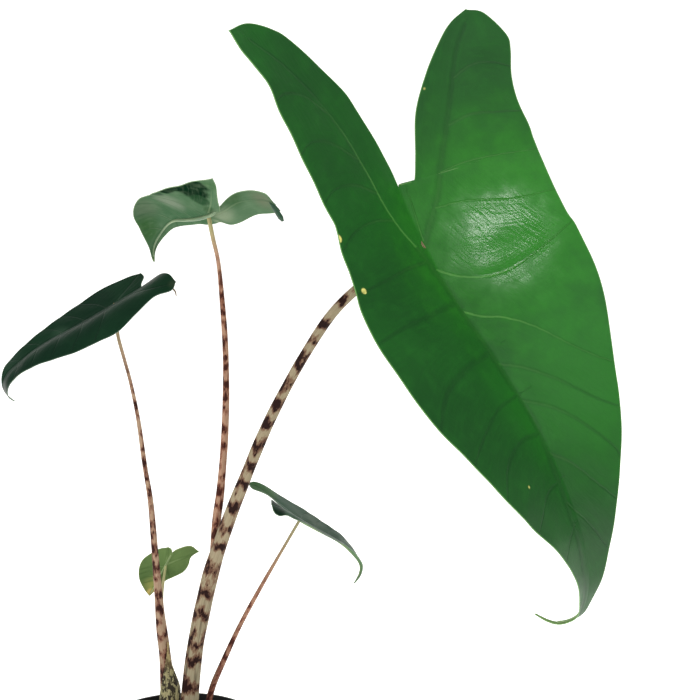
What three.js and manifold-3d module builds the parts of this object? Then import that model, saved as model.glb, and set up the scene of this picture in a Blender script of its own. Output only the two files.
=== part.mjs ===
// Potted zebrina alocasia: a black nursery pot of soil, five banded petioles and five arrow-shaped blades.
// Millimetres, +Z up, origin at the centre of the pot's flat base, -Y towards the side the plant faces.
import * as THREE from "three";
import { mergeVertices } from "three/addons/utils/BufferGeometryUtils.js";
import Module from "manifold-3d";

const wasm = await Module();
wasm.setup();

// Pot
const POT_HEIGHT = 110;
const POT_RIM_RADIUS = 60;
const POT_BASE_RADIUS = 42;
const POT_WALL = 1.6;
const POT_FLOOR = 3;
const RIM_BAND_HEIGHT = 9;
const RIM_STEP = 2.2;
const RIM_EDGE = 0.6;
const RIM_UNDERCUT = 1;
const RIM_INNER_SLOPE = 3;
const BASE_CHAMFER = 1.5;
const DRAIN_HOLES = 6;
const DRAIN_RADIUS = 4;
const DRAIN_CIRCLE_RADIUS = 28;
const DRAIN_SIDES = 20;
const POT_SEGMENTS = 64;

// Soil
const SOIL_TOP = 97;
const SOIL_BUMP = 0.7;
const SOIL_CROWN = 3;
const SOIL_RINGS = 10;
const STEM_SINK = 12;

// Fits
const GAP = 0.3;

// Blades
const BLADE_THICKNESS = 1.1;
const BLADE_TIP_WIDTH = 0.9;
const BLADE_JOIN = 0.35;
const FRAME_STEP = 1;
const MIDRIB_SIDES = 8;
const MIDRIB_DEPTH = 0.35;

// Petioles
const PETIOLE_SIDES = 12;

// Sheath stub
const STUB_THICKNESS = 0.9;
const STUB_ROWS = 10;
const STUB_COLUMNS = 8;

const rad = THREE.MathUtils.degToRad;

// Smooth value at s from [s, value] keys, or one number for a constant.
function ramp(keys, s) {
  if (typeof keys === "number") return keys;
  if (s <= keys[0][0]) return keys[0][1];
  const i = keys.findIndex((key) => key[0] > s);
  if (i < 0) return keys[keys.length - 1][1];
  const [s0, v0] = keys[i - 1];
  const [s1, v1] = keys[i];
  return THREE.MathUtils.lerp(v0, v1, THREE.MathUtils.smoothstep(s, s0, s1));
}

function solidOf(geometry) {
  const bare = geometry.clone();
  bare.deleteAttribute("normal");
  bare.deleteAttribute("uv");
  const merged = mergeVertices(bare, 1e-4);
  return new wasm.Manifold(
    new wasm.Mesh({
      numProp: 3,
      vertProperties: new Float32Array(merged.attributes.position.array),
      triVerts: new Uint32Array(merged.index.array),
    }),
  );
}

function geometryOf(solid) {
  const mesh = solid.getMesh();
  const geometry = new THREE.BufferGeometry();
  geometry.setAttribute("position", new THREE.BufferAttribute(mesh.vertProperties, mesh.numProp));
  geometry.setIndex(new THREE.BufferAttribute(mesh.triVerts, 1));
  geometry.computeVertexNormals();
  return geometry;
}

function largestBody(solid) {
  return solid.decompose().reduce((a, b) => (a.volume() > b.volume() ? a : b));
}

// Moves each vertex of a geometry to place(x, y, z).
function reshape(geometry, place) {
  const position = geometry.attributes.position;
  for (let i = 0; i < position.count; i++) {
    const p = place(position.getX(i), position.getY(i), position.getZ(i));
    position.setXYZ(i, p.x, p.y, p.z);
  }
  return geometry;
}

// A round stem through the points, its radius keyed by the share of its length, grown by extra.
function stem({ points, radius }, extra = 0, sides = PETIOLE_SIDES) {
  const curve = new THREE.CatmullRomCurve3(points.map((p) => new THREE.Vector3(...p)));
  const rows = points.length * 2;
  const frames = curve.computeFrenetFrames(rows, false);
  const cylinder = new THREE.CylinderGeometry(1, 1, 1, sides, rows);
  return solidOf(
    reshape(cylinder, (x, y, z) => {
      const row = Math.round((y + 0.5) * rows);
      const r = ramp(radius, row / rows) + extra;
      return curve
        .getPointAt(row / rows)
        .addScaledVector(frames.normals[row], -x * r)
        .addScaledVector(frames.binormals[row], z * r);
    }),
  );
}

// One side of a bent blade: where the flat point at length s along the midrib and distance d from it lies.
class BladeSide {
  constructor(spec, side) {
    this.side = side;
    this.fold = side > 0 ? spec.foldRight : spec.foldLeft;
    this.curl = side > 0 ? spec.curlRight : spec.curlLeft;
    this.lobe = side > 0 ? spec.lobeRight : spec.lobeLeft;
    this.bend = spec.bend;
    this.turn = new THREE.Matrix4()
      .makeRotationZ(rad(spec.heading))
      .multiply(new THREE.Matrix4().makeRotationX(-rad(spec.dip)))
      .multiply(new THREE.Matrix4().makeRotationY(rad(spec.roll)));
    this.at = new THREE.Vector3(...spec.at);
  }

  slope(s) {
    const lobe = s < 0 ? ramp(this.lobe, s) : 0;
    return rad(ramp(this.bend, s) + lobe);
  }

  // Midrib point and upward direction at s, in the blade's own plane x = 0.
  spine(s) {
    const steps = Math.max(1, Math.ceil(Math.abs(s) / FRAME_STEP));
    const step = s / steps;
    const point = new THREE.Vector3();
    for (let i = 0; i < steps; i++) {
      const slope = this.slope((i + 0.5) * step);
      point.y += step * Math.cos(slope);
      point.z -= step * Math.sin(slope);
    }
    const slope = this.slope(s);
    return { point, up: new THREE.Vector3(0, Math.sin(slope), Math.cos(slope)) };
  }

  // Point at (s, d), raised by lift along the upper face's normal.
  place(s, d, lift) {
    const { point, up } = this.spine(s);
    const fold = rad(ramp(this.fold, s));
    const curl = ramp(this.curl, s) || 1e-6;
    const end = fold + curl * d;
    const across = (Math.sin(end) - Math.sin(fold)) / curl - Math.sin(end) * lift;
    const rise = (Math.cos(fold) - Math.cos(end)) / curl + Math.cos(end) * lift;
    point.addScaledVector(up, rise);
    point.x += this.side * across;
    return point.applyMatrix4(this.turn).add(this.at);
  }
}

function flatCurve(points) {
  return new THREE.CatmullRomCurve3(
    points.map(([d, s]) => new THREE.Vector3(d, s, 0)),
    false,
    "catmullrom",
  );
}

// One half of a blade, from the midrib or the lobe's inner margin out to the outer margin.
function bladeHalf(spec, side, thickness) {
  const bent = new BladeSide(spec, side);
  const outer = flatCurve(side > 0 ? spec.outerRight : spec.outerLeft);
  const inner = flatCurve(side > 0 ? spec.innerRight : spec.innerLeft);
  const box = new THREE.BoxGeometry(1, 1, 1, spec.rows, spec.columns, 1);
  return solidOf(
    reshape(box, (x, y, z) => {
      const a = inner.getPoint(x + 0.5);
      const b = outer.getPoint(x + 0.5);
      a.x -= BLADE_JOIN;
      b.x = Math.max(b.x, a.x + BLADE_TIP_WIDTH);
      const flat = a.lerp(b, side > 0 ? y + 0.5 : 0.5 - y);
      return bent.place(flat.y, flat.x, -z * thickness);
    }),
  );
}

// The raised vein under the blade, from behind the attachment towards the tip.
function midrib(spec, extra) {
  const bent = new BladeSide(spec, 1);
  const start = spec.innerRight.find(([d]) => d === 0)[1];
  const points = [];
  const rows = Math.round(spec.rows / 2);
  for (let i = 0; i <= rows; i++) {
    const s = THREE.MathUtils.lerp(start, spec.midribEnd, i / rows);
    const p = bent.place(s, 0, -BLADE_THICKNESS * MIDRIB_DEPTH);
    points.push(p.toArray());
  }
  const [thick, thin] = spec.midribRadius;
  return stem({ points, radius: [[0, thick], [1, thin]] }, extra, MIDRIB_SIDES);
}

function blade(spec, extra = 0) {
  const thickness = BLADE_THICKNESS + 2 * extra;
  return bladeHalf(spec, 1, thickness).add(bladeHalf(spec, -1, thickness)).add(midrib(spec, extra));
}

// Blades. Outlines are [distance from the midrib, length along it] from the lobe's end to the tip.
const BLADES = {
  main: {
    colour: "blade",
    rows: 24,
    columns: 4,
    at: [158.6, -100, 451.5],
    heading: -118,
    dip: 57,
    roll: 30,
    bend: [[-60, 20], [0, 5], [50, -10], [115, 0], [165, 14], [205, 34], [238, 56], [262, 115], [294, 185]],
    foldRight: [[205, 20], [245, 5]],
    foldLeft: [[205, 20], [245, 5]],
    curlRight: 0,
    curlLeft: 0,
    lobeRight: 0,
    lobeLeft: 0,
    outerRight: [
      [96, -144], [90, -131], [80, -104], [74, -75], [69, -45], [71, -15], [78, 15], [83, 50], [82, 82],
      [71, 113], [56, 143], [41, 170], [26, 195], [11, 219], [4, 242], [2.5, 268], [0.5, 294],
    ],
    innerRight: [
      [96, -144], [77, -141], [41, -119], [17, -87], [5, -57], [0, -31], [0, -8], [0, 20], [0, 50],
      [0, 80], [0, 112], [0, 142], [0, 170], [0, 197], [0, 224], [0, 258], [0, 294],
    ],
    outerLeft: [
      [70, -116], [84, -106], [87, -84], [85, -59], [85, -26], [86, 9], [83, 44], [74, 71], [63, 96],
      [52, 119], [42, 142], [32, 163], [22, 184], [13, 209], [6, 236], [2.5, 265], [0.5, 294],
    ],
    innerLeft: [
      [70, -116], [57, -110], [40, -96], [27, -76], [17, -48], [0, -31], [0, -8], [0, 20], [0, 50],
      [0, 80], [0, 112], [0, 142], [0, 170], [0, 197], [0, 224], [0, 258], [0, 294],
    ],
    midribEnd: 272,
    midribRadius: [2.1, 0.8],
  },
  upper: {
    colour: "blade_dark",
    rows: 18,
    columns: 4,
    at: [25, 20, 458],
    heading: 41,
    dip: 9,
    roll: 16,
    bend: [[-16, 0], [0, 4], [32, -5], [60, 46], [80, 112]],
    foldRight: [[-14, -20], [14, 5]],
    foldLeft: 30,
    curlRight: -0.008,
    curlLeft: -0.015,
    lobeRight: [[-62, -80], [-50, 0], [-35, 24], [-18, 28], [0, 0]],
    lobeLeft: 0,
    outerRight: [
      [19, -62], [25, -50], [26, -38], [24, -28], [21, -19], [18, -9], [18, 3], [21, 18], [20, 32], [15, 45],
      [9, 56], [3.5, 68], [0.5, 83],
    ],
    innerRight: [
      [19, -62], [13, -54], [8, -45], [4, -35], [1.5, -25], [0, -13], [0, -2], [0, 14], [0, 30], [0, 43],
      [0, 55], [0, 67], [0, 83],
    ],
    outerLeft: [
      [31, -50], [36, -40], [36, -28], [36, -14], [36, 0], [35, 13], [32, 27], [26, 41], [18, 53], [10, 63],
      [4, 72], [0.5, 83],
    ],
    innerLeft: [
      [31, -50], [24, -41], [17, -31], [9, -22], [0, -13], [0, -4], [0, 9], [0, 22], [0, 36], [0, 49],
      [0, 63], [0, 83],
    ],
    midribEnd: 74,
    midribRadius: [1.3, 0.7],
  },
  left: {
    colour: "blade_dark",
    rows: 18,
    columns: 4,
    at: [-36, 15, 401],
    heading: 112,
    dip: 25,
    roll: -11,
    bend: [[-16, 0], [0, 4], [40, 0], [76, 15], [105, 105]],
    foldRight: 15,
    foldLeft: [[60, 25], [95, 5]],
    curlRight: -0.004,
    curlLeft: [[60, -0.04], [90, -0.02]],
    lobeRight: 0,
    lobeLeft: [[-45, 15], [0, 0]],
    outerRight: [
      [12, -26], [16, -21], [18, -12], [19, 0], [18, 14], [16, 28], [14, 42], [12, 56], [9, 70], [6, 82],
      [3, 93], [0.5, 105],
    ],
    innerRight: [
      [12, -26], [9, -25], [5, -22], [0, -18], [0, -4], [0, 12], [0, 28], [0, 44], [0, 60], [0, 76],
      [0, 90], [0, 105],
    ],
    outerLeft: [
      [21, -37], [26, -32], [26, -18], [27, -4], [28, 10], [28, 24], [27, 38], [25, 52], [23, 66], [19, 79],
      [12, 91], [0.5, 105],
    ],
    innerLeft: [
      [21, -37], [14, -36], [6, -29], [0, -18], [0, -4], [0, 12], [0, 28], [0, 44], [0, 60], [0, 76],
      [0, 90], [0, 105],
    ],
    midribEnd: 96,
    midribRadius: [1.3, 0.7],
  },
  right: {
    colour: "blade_dark",
    rows: 18,
    columns: 4,
    at: [80.8, 10, 258],
    heading: -65,
    dip: 33,
    roll: -2,
    bend: [[-12, 0], [0, 2], [28, 0], [56, 18], [78, 95]],
    foldRight: [[-12, 15], [8, -3]],
    foldLeft: [[-30, 26], [-8, 19]],
    curlRight: [[-10, -0.06], [6, 0]],
    curlLeft: 0,
    lobeRight: [[-28, -3], [0, 0]],
    lobeLeft: [[-32, -20], [0, 0]],
    outerRight: [
      [12, -25], [17, -21], [18, -11], [19, 1], [20, 12], [20, 22], [17, 34], [12, 46], [7, 56], [3, 66],
      [0.5, 78],
    ],
    innerRight: [
      [12, -25], [6, -23], [2, -16], [0, -9], [0, 0], [0, 10], [0, 20], [0, 34], [0, 47], [0, 61],
      [0, 78],
    ],
    outerLeft: [
      [20, -33], [24, -27], [22, -14], [20, -2], [20, 10], [20, 22], [17, 34], [12, 46], [7, 56], [3, 66],
      [0.5, 78],
    ],
    innerLeft: [
      [20, -33], [14, -31], [7, -20], [0, -9], [0, 0], [0, 10], [0, 20], [0, 34], [0, 47], [0, 61],
      [0, 78],
    ],
    midribEnd: 70,
    midribRadius: [1.1, 0.65],
  },
  small: {
    colour: "blade",
    rows: 10,
    columns: 3,
    at: [-10.2, 34, 215.5],
    heading: 97,
    dip: 62,
    roll: 100.7,
    bend: [[-5, 0], [0, 0], [10, 5], [20, 10], [26, 15]],
    foldRight: 5,
    foldLeft: 5,
    curlRight: 0,
    curlLeft: 0,
    lobeRight: 0,
    lobeLeft: 0,
    outerRight: [[17, -16], [15, -10], [14, -4], [12, 2], [8, 6], [5, 10], [3, 16], [0.3, 25]],
    innerRight: [[17, -16], [11, -19], [5, -16], [0, -10], [0, -3], [0, 6], [0, 15], [0, 25]],
    outerLeft: [[4, -13], [10, -9], [14, -3], [17, 4], [15, 12], [10, 18], [5, 22], [0.3, 25]],
    innerLeft: [[4, -13], [2, -12], [0, -10], [0, -5], [0, 1], [0, 8], [0, 16], [0, 25]],
    midribEnd: 21,
    midribRadius: [0.8, 0.6],
  },
};

// Petioles, from inside the soil up to the blade.
const PETIOLES = {
  main: {
    colour: "petiole",
    points: [
      [5.5, -1, SOIL_TOP - STEM_SINK], [7, -1, 112], [8.9, 0, 139], [11.5, -1, 162], [14.5, -3, 180],
      [20.6, -6, 207], [27.5, -10, 233], [39.5, -18, 268], [49.9, -26, 295], [60, -35, 320.5],
      [71.4, -45, 346], [88.2, -60, 379], [108, -78, 410.6], [131.3, -91, 433], [158.6, -100, 451.5],
    ],
    radius: [[0, 6.8], [0.1, 5.8], [0.22, 5.2], [0.3, 5.5], [0.42, 4.1], [0.55, 3.5], [0.75, 2.9], [1, 2.5]],
  },
  upper: {
    colour: "petiole",
    points: [
      [20.2, -5.5, 205], [24, -7.5, 221], [27.2, -8.8, 237], [28.6, -8, 254], [29.7, -7, 265],
      [31.7, -4, 280], [34.1, 3, 311], [35.2, 9, 342], [34.9, 13, 373], [32.9, 16, 404], [30.8, 18, 427.5],
      [27.7, 19.5, 443], [25, 20, 458],
    ],
    radius: [[0, 2.6], [0.2, 2.8], [0.4, 2.3], [0.7, 1.9], [0.9, 1.4], [1, 1.5]],
  },
  left: {
    colour: "petiole",
    points: [
      [-9.5, 6.5, SOIL_TOP - STEM_SINK], [-9, 6.5, 112], [-7.8, 6, 133], [-8.7, 6, 159], [-11.2, 7, 185],
      [-12.2, 7.5, 202], [-14.2, 9, 235], [-16.1, 10, 268], [-19.3, 11, 292], [-23.3, 12.5, 325],
      [-27.7, 13.5, 349], [-31.5, 14, 365], [-35.2, 14.5, 381], [-36, 15, 401],
    ],
    radius: [[0, 4], [0.15, 3.3], [0.3, 2.6], [0.5, 2], [0.7, 1.5], [0.85, 1.1], [1, 1.1]],
  },
  right: {
    colour: "petiole",
    points: [
      [18.5, 5, SOIL_TOP - STEM_SINK], [20.5, 5, 112], [25, 5, 138], [32.8, 5, 160], [40.7, 6, 176.6],
      [48.7, 6.5, 193.5], [57.3, 7, 210.3], [66.4, 8, 226.8], [75.9, 9.5, 243], [80.8, 10, 258],
    ],
    radius: [[0, 2.4], [0.3, 1.8], [0.6, 1.3], [0.9, 0.9], [1, 1]],
  },
  small: {
    colour: "petiole_pale",
    points: [
      [-6, 14, SOIL_TOP - STEM_SINK], [-6, 14.5, 112], [-6.5, 15.5, 132], [-9.5, 17.5, 159],
      [-11.5, 20.5, 179], [-12, 25, 198], [-10.2, 34, 215.5],
    ],
    radius: [[0, 1.5], [0.5, 1.2], [0.9, 0.9], [1, 0.9]],
  },
};

// The dry sheath that half wraps the left petiole's foot and ends in a point.
const STUB = {
  foot: 86,
  tip: 169,
  centre: [[86, -9.5], [112, -9], [133, -7.8], [159, -8.7], [169, -9.8]],
  depth: [[86, 6.5], [169, 6.2]],
  radius: [[100, 7], [133, 7.4], [152, 5.2], [169, 3.9]],
  from: [[120, -160], [169, -92]],
  to: [[120, 35], [169, -78]],
};

function sheathStub(extra = 0) {
  const box = new THREE.BoxGeometry(1, 1, 1, STUB_ROWS, STUB_COLUMNS, 1);
  return solidOf(
    reshape(box, (x, y, z) => {
      const height = THREE.MathUtils.lerp(STUB.foot - extra, STUB.tip + extra, x + 0.5);
      const mid = ramp(STUB.radius, height);
      const from = rad(ramp(STUB.from, height)) - extra / mid;
      const to = rad(ramp(STUB.to, height)) + extra / mid;
      const angle = THREE.MathUtils.lerp(from, to, 0.5 - y);
      const r = mid + z * (STUB_THICKNESS + 2 * extra);
      const cx = ramp(STUB.centre, height);
      const cy = ramp(STUB.depth, height);
      return new THREE.Vector3(cx + r * Math.cos(angle), cy + r * Math.sin(angle), height);
    }),
  );
}

// Inner radius of the pot at a height.
function potInside(z) {
  const wallTop = POT_HEIGHT - RIM_BAND_HEIGHT;
  const outer = THREE.MathUtils.mapLinear(z, 0, wallTop, POT_BASE_RADIUS, POT_RIM_RADIUS - RIM_STEP);
  return outer - POT_WALL;
}

// Cutters for the ring of holes in the floor, round a closed middle.
function drainHoles() {
  return Array.from({ length: DRAIN_HOLES }, (_, i) => {
    const angle = (i / DRAIN_HOLES) * 2 * Math.PI;
    const x = DRAIN_CIRCLE_RADIUS * Math.cos(angle);
    const y = DRAIN_CIRCLE_RADIUS * Math.sin(angle);
    const cutter = new THREE.CylinderGeometry(DRAIN_RADIUS, DRAIN_RADIUS, POT_FLOOR * 3, DRAIN_SIDES);
    return solidOf(cutter.rotateX(Math.PI / 2).translate(x, y, POT_FLOOR / 2));
  });
}

function pot() {
  const bandFoot = POT_HEIGHT - RIM_BAND_HEIGHT;
  const wallRadius = POT_RIM_RADIUS - RIM_STEP;
  const profile = [
    [0, 0],
    [POT_BASE_RADIUS - BASE_CHAMFER, 0],
    [POT_BASE_RADIUS, BASE_CHAMFER],
    [wallRadius, bandFoot],
    [POT_RIM_RADIUS, bandFoot + RIM_UNDERCUT],
    [POT_RIM_RADIUS, POT_HEIGHT - RIM_EDGE],
    [POT_RIM_RADIUS - RIM_EDGE, POT_HEIGHT],
    [POT_RIM_RADIUS - POT_WALL, POT_HEIGHT],
    [POT_RIM_RADIUS - POT_WALL, bandFoot + RIM_INNER_SLOPE],
    [potInside(bandFoot), bandFoot],
    [potInside(POT_FLOOR), POT_FLOOR],
    [0, POT_FLOOR],
  ].map(([r, z]) => new THREE.Vector2(r, z));
  const shell = solidOf(new THREE.LatheGeometry(profile, POT_SEGMENTS).rotateX(Math.PI / 2));
  return drainHoles().reduce((solid, hole) => solid.subtract(hole), shell);
}

// Height of the soil's surface: slightly crowned round the stems, with low lumps.
function soilHeight(r, angle) {
  const share = r / potInside(SOIL_TOP);
  const broad = Math.sin(3 * angle + 1.3) * Math.cos(r / 7);
  const fine = 0.6 * Math.sin(7 * angle - r / 5);
  const fade = 4 * share * (1 - share);
  return SOIL_TOP + SOIL_CROWN * (1 - share * share) + SOIL_BUMP * (broad + fine) * fade;
}

function soil(holes) {
  const bottom = POT_FLOOR + GAP;
  // The lathe's profile runs from the middle of the base to the wall, up it and back over the surface.
  const profile = [new THREE.Vector2(0, 0), new THREE.Vector2(1, 0)];
  for (let i = 0; i <= SOIL_RINGS; i++) {
    profile.push(new THREE.Vector2(1 - i / SOIL_RINGS, 1));
  }
  const body = solidOf(
    reshape(new THREE.LatheGeometry(profile, POT_SEGMENTS).rotateX(Math.PI / 2), (x, y, z) => {
      const share = Math.hypot(x, y);
      const angle = Math.atan2(y, x);
      const wall = potInside(z > 0.5 ? SOIL_TOP : bottom) - GAP;
      const top = soilHeight(share * wall, angle);
      const height = z > 0.5 ? top : bottom;
      return new THREE.Vector3(share * wall * Math.cos(angle), share * wall * Math.sin(angle), height);
    }),
  );
  return holes.reduce((solid, hole) => solid.subtract(hole), body);
}

// The same stem, grown by the gap and started a gap lower: the pocket that it stands in.
function pocket(spec) {
  const [x, y, z] = spec.points[0];
  return stem({ ...spec, points: [[x, y, z - GAP], ...spec.points.slice(1)] }, GAP);
}

// Colour and roughness of each finish.
const FINISHES = {
  pot: [0x161616, 0.5],
  soil: [0x3a2a1e, 0.95],
  petiole: [0xa98f72, 0.5],
  petiole_pale: [0xb5b27e, 0.5],
  blade: [0x2f6e2c, 0.35],
  blade_dark: [0x23463a, 0.35],
  sheath: [0x8c8254, 0.8],
};

const object = new THREE.Group();
object.name = "potted_zebrina_alocasia";

function addPart(name, solid, finish) {
  const [color, roughness] = FINISHES[finish];
  const material = new THREE.MeshStandardMaterial({ name: finish, color, roughness, metalness: 0 });
  const mesh = new THREE.Mesh(geometryOf(solid), material);
  mesh.name = name;
  object.add(mesh);
}

addPart("pot", pot(), "pot");

// The upper stalk grows out of the main one; all the others stand in the soil.
const inSoil = [PETIOLES.main, PETIOLES.left, PETIOLES.right, PETIOLES.small];
addPart("soil", soil([...inSoil.map(pocket), sheathStub(GAP)]), "soil");

for (const [name, spec] of Object.entries(PETIOLES)) {
  let solid = stem(spec).subtract(blade(BLADES[name], GAP));
  if (name === "main") solid = solid.subtract(pocket(PETIOLES.upper));
  addPart("petiole_" + name, largestBody(solid), spec.colour);
}
for (const [name, spec] of Object.entries(BLADES)) {
  addPart("blade_" + name, blade(spec), spec.colour);
}
addPart("sheath_stub", sheathStub(), "sheath");

export default object;
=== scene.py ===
import math
import random

import bpy
import numpy as np
from mathutils import Matrix, Vector, noise


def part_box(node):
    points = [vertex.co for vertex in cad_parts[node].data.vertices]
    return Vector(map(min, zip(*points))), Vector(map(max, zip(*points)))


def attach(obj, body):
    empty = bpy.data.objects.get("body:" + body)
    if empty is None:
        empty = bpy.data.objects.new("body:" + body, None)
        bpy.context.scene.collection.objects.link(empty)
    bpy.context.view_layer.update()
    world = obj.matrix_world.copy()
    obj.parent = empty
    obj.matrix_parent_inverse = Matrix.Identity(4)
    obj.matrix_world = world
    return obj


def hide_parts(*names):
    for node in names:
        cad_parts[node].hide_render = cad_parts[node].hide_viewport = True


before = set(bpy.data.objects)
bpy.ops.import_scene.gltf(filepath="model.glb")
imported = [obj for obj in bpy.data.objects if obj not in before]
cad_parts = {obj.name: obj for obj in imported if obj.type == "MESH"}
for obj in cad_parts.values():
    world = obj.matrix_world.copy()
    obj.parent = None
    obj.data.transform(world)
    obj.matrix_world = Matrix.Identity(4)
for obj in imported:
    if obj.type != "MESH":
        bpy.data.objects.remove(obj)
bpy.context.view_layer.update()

MM = 0.001
MERGE_DISTANCE = 1e-6

# Camera
EYE_MM = (117, -863, 531)
LOOK_DOWN_DEG = 10.4
LENS_MM = 70
SENSOR_MM = 36

# Pot, from the frame
POT_LOW, POT_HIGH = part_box("pot")
POT_HEIGHT = (POT_HIGH[2] - POT_LOW[2]) / MM
RIM_RADIUS = (POT_HIGH[0] - POT_LOW[0]) / 2 / MM
BASE_RADIUS = 42
POT_WALL = 1.6
POT_FLOOR = 3
RIM_BAND = 9
RIM_STEP = 2.2
POT_SIDES = 128
DRAIN_HOLES = 6
DRAIN_RADIUS = 4
DRAIN_CIRCLE = 28
DRAIN_SIDES = 32
DRAIN_CUT_DEPTH = 12
EDGE_ROUNDING = 0.25

# Soil
SOIL_LEVEL = 97
SOIL_CROWN = 3
SOIL_GAP = 0.4
SOIL_SIDES = 128
SOIL_RINGS = 60
SOIL_WALL_RINGS = 8
LUMP_SPACING = 9
LUMP_HEIGHT = 1.6

# Bark chips and perlite grains on the soil: how many, and how each is stretched along x, y and z
CHIPS = 420
CHIP_STRETCH = [(1.2, 4.2), (0.8, 2.2), (0.5, 1.1)]
GRAINS = 150
GRAIN_STRETCH = [(0.8, 1.9), (0.8, 1.7), (0.7, 1.4)]
LUMP_TILT = 0.5
LUMP_LIFT_SHARE = 0.4
WALL_CLEARANCE = 4
STEM_CLEARANCE = 10

# Blades
BLADE_THICKNESS = 0.5
MARGIN_WIDTH = 0.35
LEAST_HALF_WIDTH = 0.45
RIB_SHOULDER = 6
SIDE_VEINS = 5
SPINE_REACH = 400
NOWHERE_NEAR = 1e3


def ramp(keys, s):
    """Smooth values at s from (s, value) keys, or one number for a constant."""
    if isinstance(keys, (int, float)):
        return np.full(np.shape(s), float(keys))
    at = np.array([key[0] for key in keys], float)
    value = np.array([key[1] for key in keys], float)
    i = np.clip(np.searchsorted(at, s, side="right") - 1, 0, len(at) - 2)
    share = np.clip((s - at[i]) / (at[i + 1] - at[i]), 0, 1)
    share = share * share * (3 - 2 * share)
    return value[i] * (1 - share) + value[i + 1] * share


def smooth_path(points, t):
    """Points of the smooth curve through the given ones, for t from 0 to 1, evenly by number of points."""
    path = np.array(points, float)
    t = np.clip(t, 0, 1) * (len(path) - 1)
    i = np.minimum(t.astype(int), len(path) - 2)
    w = (t - i)[..., None]
    ends = np.vstack([2 * path[0] - path[1], path, 2 * path[-1] - path[-2]])
    before, start, end, after = ends[i], ends[i + 1], ends[i + 2], ends[i + 3]
    go, arrive = (end - before) / 2, (after - start) / 2
    return (
        (2 * w**3 - 3 * w**2 + 1) * start
        + (w**3 - 2 * w**2 + w) * go
        + (3 * w**2 - 2 * w**3) * end
        + (w**3 - w**2) * arrive
    )


# Objects and edit mode


def deselect():
    bpy.ops.object.select_all(action="DESELECT")


def use(piece):
    deselect()
    piece.select_set(True)
    bpy.context.view_layer.objects.active = piece


def edit(piece):
    use(piece)
    bpy.ops.object.mode_set(mode="EDIT")
    bpy.ops.mesh.select_all(action="SELECT")


def leave_edit():
    bpy.ops.object.mode_set(mode="OBJECT")


def named(name):
    piece = bpy.context.object
    piece.name = name
    piece.data.name = name
    return piece


def add_grid(name, columns, rows):
    """A unit grid to be shaped, with each vertex's share across and along."""
    deselect()
    bpy.ops.mesh.primitive_grid_add(x_subdivisions=columns, y_subdivisions=rows, size=1)
    piece = named(name)
    flat = np.empty(len(piece.data.vertices) * 3)
    piece.data.vertices.foreach_get("co", flat)
    flat = flat.reshape(-1, 3)
    return piece, flat[:, 0] + 0.5, flat[:, 1] + 0.5


def place_vertices(piece, points_mm):
    piece.data.vertices.foreach_set("co", np.ascontiguousarray(points_mm * MM, dtype=np.float32).ravel())
    piece.data.update()


def point_attribute(piece, name, values):
    """Stores a number or a vector at each vertex."""
    values = np.ascontiguousarray(values, dtype=np.float32)
    kind, key = ("FLOAT_VECTOR", "vector") if values.ndim == 2 else ("FLOAT", "value")
    piece.data.attributes.new(name, kind, "POINT").data.foreach_set(key, values.ravel())


def merge(piece):
    edit(piece)
    bpy.ops.mesh.remove_doubles(threshold=MERGE_DISTANCE)
    leave_edit()


def face_outwards(piece):
    edit(piece)
    bpy.ops.mesh.normals_make_consistent(inside=False)
    leave_edit()


def smooth(piece, angle):
    use(piece)
    bpy.ops.object.shade_smooth_by_angle(angle=math.radians(angle))


def apply_modifier(piece, kind, **settings):
    use(piece)
    modifier = piece.modifiers.new(kind.title(), kind)
    for key, value in settings.items():
        setattr(modifier, key, value)
    bpy.ops.object.modifier_apply(modifier=modifier.name)


def join(pieces):
    deselect()
    for piece in pieces:
        piece.select_set(True)
    bpy.context.view_layer.objects.active = pieces[0]
    bpy.ops.object.join()
    return pieces[0]


def belongs(piece, node):
    """The piece rides on the plant's one body and stands for a CAD node, which is hidden."""
    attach(piece, "root")
    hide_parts(node)


# Node building


def srgb(red, green, blue):
    """A linear colour from 8-bit display values."""
    def linear(c):
        c /= 255
        return c / 12.92 if c <= 0.04045 else ((c + 0.055) / 1.055) ** 2.4

    return (linear(red), linear(green), linear(blue), 1.0)


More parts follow.
